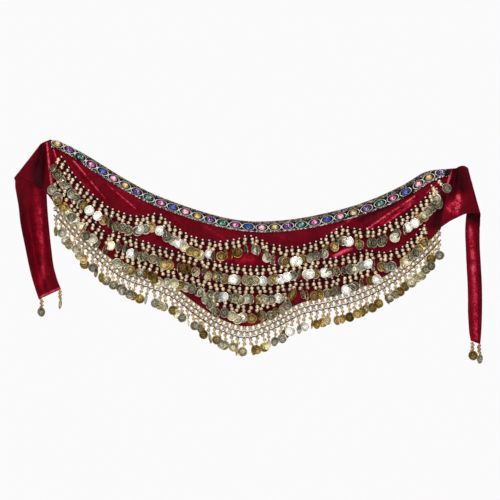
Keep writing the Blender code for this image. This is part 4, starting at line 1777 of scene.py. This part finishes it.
@dataclass
class JewelTrim:
    """The black ribbon on the top edge, with a stone in a setting inside each oval of cord.

    The stones' run is where the first one lies, how far it is from there to the last, and how they are
    gathered between. Slips say how far they lie below the ribbon's middle at places along it. Each border row
    has its place across the ribbon, its beads' plating and their size.
    """

    node: str = "jewel_trim"
    width: float = 17.5
    inset: float = 0.8
    start: float = 5.5
    end_inset: float = 5.5
    stones: int = 31
    run: tuple[float, float, float, float] = (36.3, 754.5, -27.0, 45.9)
    slips: tuple[tuple[float, float], ...] = (
        (0, -4.4),
        (36, -3.8),
        (63, -1.2),
        (88, 0.8),
        (405, 1),
        (440, 2.7),
        (525, 3.2),
        (640, 3.4),
        (735, 4.8),
        (765, 2.6),
        (793, -3.8),
    )
    end_stone: float = -25.0
    end_rise: float = 4.4
    end_lifts: tuple[float, float] = (0.1, 0.2)
    end_seeds: tuple[float, ...] = (1.2, 3.4, 5.6)
    end_seed_rows: tuple[float, ...] = (1.0, 3.1, 5.2, 7.3, 9.4, 11.5)
    end_seed_size: float = 1.25
    end_seed_lift: float = 1.4
    lifts: tuple[float, float, float] = (1.6, 1.7, 1.8)
    tilts: tuple[float, float] = (0.03, 0.06)
    border_pitch: float = 2.3
    border_lift: float = 1.2
    spread_along: float = 0.5
    spread_down: float = 0.3
    seed: int = 31
    border_stretch: float = 1.35
    bead_reach: float = 1.5
    spread_from: float = 1.5
    spread_share: float = 0.75
    border_rows: tuple[tuple[float, Metal, float], ...] = (
        (0.4, Metal.LUREX, 1.0),
        (2.0, Metal.LUREX, 0.85),
        (15.2, Metal.STEEL, 0.8),
        (16.9, Metal.STEEL, 1.1),
    )
    border_lights: tuple[float, ...] = (0.05, 0.15, 0.35, 0.7, 1.1)
    columns: int = 420
    rows: int = 6
    wall: float = 0.8
    band_lift: float = 0.75
    band_reach: float = 3.0
    slope_reach: float = 9.0
    lean_reach: float = 8.0
    length: float = field(init=False)
    track: Track = field(init=False)
    crescent: Crescent = field(init=False)

    def slipped(self, length: float) -> float:
        """Returns how far the stones lie below the ribbon's middle at a length along it."""
        lengths, slips = zip(*self.slips)
        return float(np.interp(length, lengths, slips))

    def spot(self, length: float, across: float, reach: float) -> tuple[Vector, float]:
        """Finds a point on the ribbon.

        Args:
            length: How far it is along the ribbon.
            across: How far it is down from the ribbon's upper edge.
            reach: How much velvet it rests on.

        Returns:
            The point on the velvet, and the ribbon's slope there.
        """
        x, z = self.track.at(length + self.start)
        slope = self.track.slope(length + self.start, self.slope_reach)
        down = self.inset + across
        x, z = x + math.sin(slope) * down, z - math.cos(slope) * down
        return Vector((x, self.crescent.front(x, z, reach), z)), slope

    def stone_lengths(self) -> list[float]:
        """Spaces the stones, which are gathered a little at the right end.

        Returns:
            How far along each one lies.
        """
        first, run, bunch, skew = self.run
        shares = [number / (self.stones - 1) for number in range(self.stones)]
        return [first + run * t + t * (1.0 - t) * (bunch + skew * (1.0 - 2.0 * t)) for t in shares]

    def lie(self, length: float, across: float, lift: float, reach: float = 4.0) -> Matrix:
        """Lays a finding flat on the ribbon.

        Args:
            length: How far it is along the ribbon.
            across: How far it is down from the upper edge.
            lift: How far it stands off the velvet.
            reach: How much velvet it rests on.

        Returns:
            Its place.
        """
        spot, slope = self.spot(length, across, reach)
        spot.y -= lift
        near, far = (self.spot(length + side * self.lean_reach, across, 0.0)[0].y for side in (-1.0, 1.0))
        lean = Matrix.Rotation(math.atan2(far - near, 2.0 * self.lean_reach), 4, "Y")
        return Matrix.Translation(spot) @ Matrix.Rotation(-slope, 4, "Y") @ FACING @ lean

    def build(self, shop: Workshop) -> list[bpy.types.Object]:
        """Sews the ribbon on.

        Args:
            shop: The velvet, shapes and materials.

        Returns:
            Its band, settings, stones and borders.
        """
        findings, wardrobe = shop.findings, shop.wardrobe
        self.crescent = shop.crescent
        self.track = self.crescent.top_edge()
        self.length = self.track.length - self.start - self.end_inset
        chance, spread = random.Random(self.seed), self.spread_along
        ovals, gems, borders = Cluster(), Cluster(), Cluster()
        lengths = self.stone_lengths()
        end = self.lie(lengths[0] + self.end_stone, self.width / 2.0 - self.end_rise, self.end_rise)
        on_ring, on_setting = (end @ Matrix.Translation((0.0, 0.0, lift)) for lift in self.end_lifts)
        ovals.add(findings.ring, end, Metal.STEEL.value)
        ovals.add(findings.setting, on_ring, Metal.PEWTER.value)
        gems.add(findings.gem, on_setting, Gem.YELLOW.value)
        for along in self.end_seeds:
            for across in self.end_seed_rows:
                down = across + chance.uniform(-spread, spread)
                place = self.lie(along, down, self.end_seed_lift, self.bead_reach)
                borders.add(findings.seed, place @ Matrix.Scale(self.end_seed_size, 4), Metal.STEEL.value)
        for number, along in enumerate(lengths):
            along += chance.uniform(-spread, spread)
            middle = self.width / 2.0 + self.slipped(along)
            middle += chance.uniform(-self.spread_down, self.spread_down)
            tilt = Matrix.Rotation(chance.gauss(0.0, self.tilts[0]), 4, "Z")
            tilt @= Matrix.Rotation(chance.gauss(0.0, self.tilts[1]), 4, "X")
            ring, setting, stone = (self.lie(along, middle, lift) @ tilt for lift in self.lifts)
            turn = Matrix.Rotation(math.pi * (number // 2 % 2), 4, "Z")
            ovals.add(findings.ring, ring, Metal.STEEL.value)
            ovals.add(findings.setting, setting, Metal.PEWTER.value)
            gems.add(findings.gem, stone @ turn, list(Gem)[number % len(Gem)].value)
        self.edge_with(borders, findings.seed, chance)
        return [
            self.band(wardrobe.ribbon),
            finish_piece(ovals.finish("setting_rings"), wardrobe.setting),
            finish_piece(gems.finish("stones"), wardrobe.gems),
            finish_piece(borders.finish("ribbon_borders"), wardrobe.setting),
        ]

    def edge_with(self, borders: Cluster, bead: Shape, chance: random.Random) -> None:
        """Adds the rows of small beads along both borders.

        Args:
            borders: Where they are gathered.
            bead: The bead.
            chance: What sets their differences.
        """
        for across, metal, size in self.border_rows:
            for step in range(int(self.length / self.border_pitch)):
                along = (step + 0.5) * self.border_pitch
                for slipped in self.rows_at(across, self.slipped(along)):
                    down = slipped + chance.uniform(-self.spread_down, self.spread_down)
                    place = self.lie(along, down, self.border_lift, self.bead_reach)
                    stretch = Matrix.Diagonal((size * self.border_stretch, size, size, 1.0))
                    tint = lighten(metal.value, chance.choice(self.border_lights))
                    borders.add(bead, place @ stretch, tint)

    def rows_at(self, across: float, slipped: float) -> tuple[float, ...]:
        """Places a border row, twice over where the upper border is spread wide.

        Args:
            across: Its place on an even ribbon.
            slipped: How far down the stones are there.

        Returns:
            Where it lies across the ribbon.
        """
        if across > self.width / 2.0:
            return (across + slipped,)
        return (across, across + slipped * self.spread_share) if slipped > self.spread_from else (across,)

    def band(self, material: bpy.types.Material) -> bpy.types.Object:
        """Makes the ribbon itself.

        Args:
            material: What it is made of.

        Returns:
            The piece.
        """

        def spot(u: float, v: float) -> Vector:
            """Finds a point of the ribbon.

            Args:
                u: Where it is along the sheet, from 0 to 1.
                v: Where it is down the sheet, likewise.

            Returns:
                The point.
            """
            along = u * self.length
            place = self.spot(along, v * (self.width + self.slipped(along)), self.band_reach)[0]
            place.y -= self.band_lift
            return place

        bm = lay_grid(self.columns, self.rows, spot, (self.length * MM, self.width * MM))
        bmesh.ops.recalc_face_normals(bm, faces=bm.faces[:])
        piece = link_bmesh("ribbon_band", bm)
        give_wall(piece, self.wall)
        return finish_piece(piece, material, self.node)


@dataclass
class OpenHem:
    """The openwork band of bead squares under the hem, with its fringe of coin drops."""

    nodes: tuple[str, ...] = ("hem_fringe_a", "hem_fringe_b", "hem_fringe_c", "hem_fringe_d")
    square_pitch: float = 11.4
    square_rows: tuple[float, ...] = (5.6, 16.8)
    square: tuple[tuple[float, float, float], ...] = (
        (-1.0, 0.0, -1.0),
        (1.0, 0.0, -1.0),
        (-1.0, 0.0, 1.0),
        (1.0, 0.0, 1.0),
        (0.0, -0.6, 0.0),
    )
    bead_radius: float = 2.2
    bead_lights: tuple[float, float] = (0.75, 1.1)
    net_radius: float = 0.5
    wave_radius: float = 1.1
    bead_seed: int = 7
    fringe_seed: int = 19
    waves: tuple[float, ...] = (0.6, 11.2, 22.4)
    wave_height: float = 1.8
    wave_steps: int = 8
    drop_pitch: float = 12.4
    drop_root: float = 21.6
    lean_spread: float = 0.07
    bright: tuple[float, ...] = (463.0, 484.0)
    golden: float = 2.5
    hang: Hang = Hang(beads=(6.4, 13.8), bead_radius=3.95, coin=26.8, zigzag=1.1)
    pitch: float = field(init=False)
    track: Track = field(init=False)
    crescent: Crescent = field(init=False)

    def spot(self, length: float, down: float) -> Vector:
        """Returns the point that is a way below the hem at a length along it."""
        x, z = self.track.at(min(max(length, 0.0), self.track.length))
        return Vector((x, self.crescent.hem_y(x), z - down))

    def build(self, shop: Workshop) -> list[bpy.types.Object]:
        """Works the band and its fringe.

        Args:
            shop: The velvet, shapes and materials.

        Returns:
            Their pieces.
        """
        self.crescent = shop.crescent
        self.track = self.crescent.hem()
        count = round(self.track.length / self.square_pitch)
        self.pitch = self.track.length / count
        wardrobe = shop.wardrobe
        squares, net = self.squares(count, shop.findings.seed)
        return [
            finish_piece(squares.finish("hem_bead_squares"), wardrobe.beads),
            finish_piece(net.finish("hem_net"), wardrobe.gold_thread),
            finish_piece(self.rounds(count).finish("hem_waves"), wardrobe.hem_thread),
            *self.fringe(shop),
        ]

    def squares(self, count: int, bead: Shape) -> tuple[Cluster, Strands]:
        """Works the squares, each of four beads with a fifth on their middle.

        Args:
            count: How many go along the hem.
            bead: The bead.

        Returns:
            The beads, and the net of thread that joins the squares.
        """
        squares, net = Cluster(), Strands(self.net_radius)
        chance = random.Random(self.bead_seed)
        for row, down in enumerate(self.square_rows):
            for number in range(count - row):
                along = (number + 0.5 + 0.5 * row) * self.pitch
                middle = self.spot(along, down)
                turn = Matrix.Rotation(-self.track.slope(along), 4, "Y") @ Matrix.Scale(self.bead_radius, 4)
                for corner in self.square:
                    place = Matrix.Translation(middle) @ turn @ Matrix.Translation(corner)
                    squares.add(bead, place, lighten(Metal.HEM_BEAD.value, chance.uniform(*self.bead_lights)))
                for side in (-0.5, 0.5):
                    for rise in (0.5, -0.5):
                        end = self.spot(along + side * self.pitch, down + rise * self.square_pitch)
                        net.add((middle, end))
        return squares, net

    def rounds(self, count: int) -> Strands:
        """Works the rounds of thread above, between and below the squares, the first of them straight.

        Args:
            count: How many squares go along the hem.

        Returns:
            The threads.
        """
        waves = Strands(self.wave_radius)
        for number, down in enumerate(self.waves):
            path = []
            for step in range(count * self.wave_steps + 1):
                share = step / self.wave_steps
                wave = self.wave_height * abs(math.sin(math.pi * (share + 0.5 * number))) if number else 0.0
                path.append(self.spot(share * self.pitch, down + wave))
            waves.add(path)
        return waves

    def fringe(self, shop: Workshop) -> list[bpy.types.Object]:
        """Hangs the fringe.

        Args:
            shop: The velvet, shapes and materials.

        Returns:
            Its pieces.
        """
        maker = DropMaker(shop, self.fringe_seed, Metal.HEM_BEAD, self.golden)
        lengths = self.track.places(self.drop_pitch)
        newest = {min(lengths, key=lambda length: abs(self.track.at(length)[0] - x)) for x in self.bright}
        for length in lengths:
            root = self.spot(length, self.drop_root)
            lean = maker.chance.gauss(0.0, self.lean_spread)
            maker.drop(root, lean, self.hang, self.hang.free(root.y), length in newest)
        return maker.finish("fringe", *self.nodes)


@dataclass
class TieDrops:
    """The bead drops at the corners of a tie's end.

    Each root has its X, Z and Y, the drop's lean in degrees and its coin's turn in radians.
    """

    name: str
    nodes: tuple[str, ...]
    roots: tuple[tuple[float, float, float, float, float], ...]
    seed: int
    hang: Hang = Hang(beads=(2.0, 5.4, 8.8, 12.2, 15.6), bead_radius=3.3, coin=26.0, zigzag=1.6)

    def build(self, shop: Workshop) -> list[bpy.types.Object]:
        """Hangs the drops.

        Args:
            shop: The velvet, shapes and materials.

        Returns:
            Their pieces.
        """
        maker = DropMaker(shop, self.seed, Metal.ROSE_GOLD)
        for x, z, y, degrees, turned in self.roots:
            root = Vector((x, y, z))
            maker.drop(root, math.radians(degrees), self.hang, self.hang.free(y), turned=turned)
        return maker.finish(self.name, *self.nodes)


@dataclass
class Studio:
    """The camera, the lights and the pale floor under the belt.

    Each lamp has its place in metres, of which X is from the middle of the view, its size in metres and its
    power in watts. The floor's own lamp has its height above the floor instead.
    """

    frame_pixels: float = 500.0
    pixel: float = 1.9
    left_grip_pixel: tuple[float, float] = (47.0, 141.0)
    distance: float = 3000.0
    sensor: float = 36.0
    clip_end: float = 50.0
    floor: float = -1300.0
    floor_radius: float = 3700.0
    floor_sides: int = 96
    lamps: tuple[tuple[str, float, float, float, float, float], ...] = (
        ("key", -0.5, -2.8, 0.8, 1.8, 21.0),
        ("top", 0.1, -1.3, 1.9, 0.9, 26.0),
        ("rear", 0.4, 2.4, 1.2, 1.2, 26.0),
    )
    floor_lamp: tuple[float, float, float] = (0.6, 6.2, 120.0)

    def build(self, wardrobe: Wardrobe) -> None:
        """Sets the studio up.

        Args:
            wardrobe: The materials.
        """
        middle = self.frame_pixels / 2.0
        across = (middle - self.left_grip_pixel[0]) * self.pixel
        x, z = across * MM, (self.left_grip_pixel[1] - middle) * self.pixel * MM
        camera = bpy.data.cameras.new("camera")
        camera.sensor_width = self.sensor
        camera.lens = self.sensor * self.distance / (self.frame_pixels * self.pixel)
        camera.clip_end = self.clip_end
        made = link("camera", camera)
        made.location = (x, -self.distance * MM, z)
        made.rotation_euler = (math.pi / 2.0, 0.0, 0.0)
        bpy.context.scene.camera = made
        self.lay_floor(across, wardrobe.floor)
        for name, dx, y, height, size, power in self.lamps:
            self.light(name, (x + dx, y, height), (x, 0.0, z), size, power)
        floor = self.floor * MM
        rise, size, power = self.floor_lamp
        self.light("floor_light", (x, 0.0, floor + rise), (x, 0.0, floor), size, power)
        self.room()
        bpy.context.scene.view_settings.view_transform = "Standard"

    @staticmethod
    def room() -> None:
        """Lights the room softly, more from above, with a nearly white wall behind the belt."""
        world = bpy.data.worlds.new("room")
        world.use_nodes = True
        graph = Graph(world.node_tree)
        _, away, height = graph.node("SeparateXYZ", {0: graph.node("TexCoord").outputs["Generated"]}).outputs
        soft = graph.ramp(height, -0.5, 0.7, 0.10, 0.38)
        seen = graph.math("MULTIPLY", graph.node("LightPath").outputs["Is Camera Ray"], 0.96)
        wall = graph.math("MAXIMUM", seen, graph.ramp(away, 0.05, 0.5, 0.0, 0.85))
        background = world.node_tree.nodes["Background"].inputs
        graph.feed(background["Strength"], graph.math("MAXIMUM", soft, wall))
        graph.feed(background["Color"], (1.0, 1.0, 1.0))
        bpy.context.scene.world = world

    @staticmethod
    def light(name: str, place: Sequence[float], aim: Sequence[float], size: float, power: float) -> None:
        """Adds a soft square light.

        Args:
            name: What it is called.
            place: Where it is, in metres.
            aim: Where it points, likewise.
            size: Its side in metres.
            power: Its power in watts.
        """
        lamp = bpy.data.lights.new(name, "AREA")
        lamp.size = size
        lamp.energy = power
        made = link(name, lamp)
        made.location = place
        made.rotation_euler = (Vector(aim) - Vector(place)).to_track_quat("-Z", "Y").to_euler()
        made.visible_camera = False

    def lay_floor(self, across: float, material: bpy.types.Material) -> None:
        """Adds the round pale floor, below the frame of the main view.

        Args:
            across: The X of its middle, in millimetres.
            material: What it is made of.
        """
        bm = bmesh.new()
        bmesh.ops.create_circle(bm, cap_ends=True, segments=self.floor_sides, radius=self.floor_radius)
        bmesh.ops.translate(bm, vec=(across, 0.0, self.floor), verts=bm.verts[:])
        made = link_bmesh("floor", bm)
        made.data.materials.append(material)


LEFT_TIE = (
    (1, 0.5, 2.5, -103, 0, 3, 0, 0),
    (-2, 0, -11.5, -92, 2, -4, 0, 0),
    (-5, -1.5, -26.5, -79, 2, -6, 0, 0),
    (-8, -3, -41.5, -71, 1, -2, 0, 0),
    (-10.5, -5, -56, -68.5, 0, 1, 0, 0),
    (-13, -7, -62.5, -70, 3.5, 0, 0, 0),
    (-11.5, -10.5, -61.5, -76, 7.5, 0, 0, 0),
    (-7.5, -27, -62, -86, 10.5, 0, 0, 0),
    (-3.5, -59, -59.5, -101, 11, 0, 1, 0),
    (-2, -104, -55, -124, 9, 0, 3, 0),
    (1, -150, -50.5, -158, 7, 0, 5, 0),
    (6, -199, -41.5, -201.5, 6, 0, 6, 0),
    (11, -237, -32.5, -245, 6, 0, 6, 0),
    (19, -266, -24, -276.5, 6, 0, 4.5, 0),
    (25.5, -282, -16, -301, 6, 0, 3, 0),
)
RIGHT_TIE = (
    (777, -51.5, 764, -153.5, 0, 1, 0, 0),
    (783, -48.5, 779, -145.5, -1, 8, 0, 0),
    (788.5, -47, 793.5, -139, 0, 5, 0, 0),
    (794, -47.5, 808.5, -136.5, 1, 0, 0, 0),
    (798.5, -50, 820, -136, 1, 0, 0, 0),
    (800.5, -53.5, 824, -139.5, 4.5, 0, 0, 0),
    (799.5, -60, 824, -147.5, 8.5, 0, 0, 0),
    (798, -78, 824.5, -156, 11, 0, 0, 0.1),
    (796.5, -106, 824.5, -166, 11.5, 0, 0, 0.45),
    (796, -137, 824, -177, 10, 0, 0.5, 0.8),
    (796, -173, 824, -200, 8, 0, 1, 1),
    (798, -230, 826, -238, 7, 0, 1.2, 1),
    (800.5, -279, 828, -281.5, 6, 0, 1.2, 1),
    (801, -325, 828, -327, 6, 0, 1, 1),
    (803.5, -363, 826.5, -366, 6, 0, 0.5, 1),
    (806.5, -380, 824.5, -387, 6, 0, 0, 1),
)
# These folds only paint light into the ties' velvet: a highlight, or shade where the fifth number is
# negative.
LEFT_UPPER_PAINTED_GLEAMS = painted_gleams(
    (0, -4, 13, -112, 1, 2.2),
    (-9, -10, -14, -88, -0.9, 9),
    (-20, -46, -25, -80, -0.65, 15),
    (-16, -10, -60, -64, 0.20, 3),
    (-58, -71, -34, -72, 0.42, 1.6),
    (-30, -74, -4, -98, 0.30, 1.6),
)
LEFT_LOWER_PAINTED_GLEAMS = painted_gleams(
    (-19, -95, -12, -270, 0.22, 10),
    (-14, -120, -6, -262, 0.18, 3),
    (-30, -180, -26, -250, 0.16, 3),
    (6, -170, 17, -236, 0.50, 1.4),
    (12, -225, 24, -270, 0.35, 1.4),
    (24.5, -279, -14, -296.5, 0.95, 1.5),
    (-54, -100, -44, -210, -0.5, 6),
    (-44, -100, -33, -260, -0.28, 9),
    (-6, -96, -1, -200, -0.4, 4),
)
RIGHT_UPPER_PAINTED_GLEAMS = painted_gleams(
    (778, -56, 786, -92, -0.95, 11),
    (768, -76, 770, -100, -0.6, 6),
    (780, -106, 777, -136, 0.80, 5.5),
    (768, -120, 786, -120, 0.35, 7),
    (784, -96, 780, -108, 0.40, 3.5),
    (762, -128, 768, -134, 0.45, 4),
    (800, -58, 816, -125, -0.40, 9),
    (796, -134, 822, -133, -0.5, 1.6),
)
RIGHT_LOWER_PAINTED_GLEAMS = painted_gleams(
    (804, -140, 822, -148, -1, 10),
    (805, -164, 812, -240, 0.44, 5.5),
    (812, -240, 816, -375, 0.40, 6.5),
    (798, -160, 800, -330, -0.4, 2.5),
    (823, -160, 827, -330, -0.6, 3.5),
)
COIN_ROWS = (
    CoinRow(
        "row_1",
        ("coin_row_1_a", "coin_row_1_b", "coin_row_1_c", "coin_row_1_d"),
        (
            Swag(24, -25, 203, -137, 43),
            Swag(212, -138, 381, -179, 29.5),
            Swag(390, -179.5, 556, -162, 30.5),
            Swag(565, -162, 738, -85, 33),
        ),
        seed=11,
        bright=(92, 104, 179, 211, 248, 256, 312, 460, 478, 578, 682, 693),
        extras=((738, -73, 47), (730, -86, 20), (741, -90, 10)),
    ),
    CoinRow(
        "row_2",
        ("coin_row_2_a", "coin_row_2_b", "coin_row_2_c", "coin_row_2_d", "coin_row_2_e"),
        (
            Swag(23, -68, 118, -180, 8),
            Swag(127, -172, 304, -225, 3),
            Swag(312, -227.5, 470, -229, 10.5),
            Swag(478, -228, 609, -207, 5),
            Swag(617, -208, 720, -155, 22),
        ),
        seed=12,
        bright=(163, 346, 410, 440, 462, 508, 524, 602),
    ),
    CoinRow(
        "row_3",
        ("coin_row_3_a", "coin_row_3_b", "coin_row_3_c"),
        (
            Swag(130, -200, 248, -246, 5),
            Swag(256, -247, 474, -265, 17),
            Swag(482, -265.5, 624, -233, 8),
        ),
        seed=13,
        bright=(338, 440, 560, 628),
    ),
    CoinRow("row_4", ("coin_row_4",), (Swag(294, -273, 456, -282, 32),), seed=14),
)
LEFT_DROPS = TieDrops(
    "left_tie_drops",
    ("tie_drop_left_a", "tie_drop_left_b"),
    ((-10.8, -300, 5.5, 0, 0.85), (23.3, -284.4, 8.8, 3, -1.15)),
    seed=21,
)
RIGHT_DROPS = TieDrops(
    "right_tie_drops",
    ("tie_drop_right_a", "tie_drop_right_b"),
    ((809.5, -382.9, 5.8, -3, -0.5), (822, -387.6, 10.9, 3, 0.8)),
    seed=22,
)


def main() -> None:
    """Builds the belt around its frame."""
    logging.basicConfig(level=logging.INFO, format="%(name)s %(message)s")
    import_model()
    wardrobe = Wardrobe()
    Studio().build(wardrobe)
    crescent = Crescent("velvet_crescent", "velvet_panel", columns=330, rows=74)
    left = Tie(
        "left_tie_velvet",
        "left_tie",
        columns=48,
        rows=170,
        crescent=crescent,
        end=0.0,
        table=LEFT_TIE,
        upper_painted_gleams=LEFT_UPPER_PAINTED_GLEAMS,
        lower_painted_gleams=LEFT_LOWER_PAINTED_GLEAMS,
    )
    right = Tie(
        "right_tie_velvet",
        "right_tie",
        columns=56,
        rows=190,
        crescent=crescent,
        end=1.0,
        table=RIGHT_TIE,
        upper_painted_gleams=RIGHT_UPPER_PAINTED_GLEAMS,
        lower_painted_gleams=RIGHT_LOWER_PAINTED_GLEAMS,
    )
    panel = crescent.build(wardrobe.velvet, wardrobe.backing)
    left_piece, right_piece = left.build(wardrobe.velvet), right.build(wardrobe.velvet)
    shop = Workshop(crescent, Findings(), wardrobe)
    seams = Strands(STITCH_RADIUS)
    for cloth in (crescent, left, right):
        cloth.sew(seams)
    sewn = [finish_piece(seams.finish("stitches"), wardrobe.red_thread)]
    for part in (JewelTrim(), *COIN_ROWS, OpenHem()):
        sewn += part.build(shop)
    tie_flat = (0.125, 0.42)
    for piece, flat, with_pieces in (
        (panel, (0.80, 0.34), sewn),
        (left_piece, tie_flat, LEFT_DROPS.build(shop)),
        (right_piece, tie_flat, RIGHT_DROPS.build(shop)),
    ):
        area = sum(face.area for face in piece.data.polygons)
        LOG.info("%s: %.4f square metres", piece.name, area)
        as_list(with_pieces)
    bpy.context.view_layer.update()


if __name__ == "__main__":
    main()
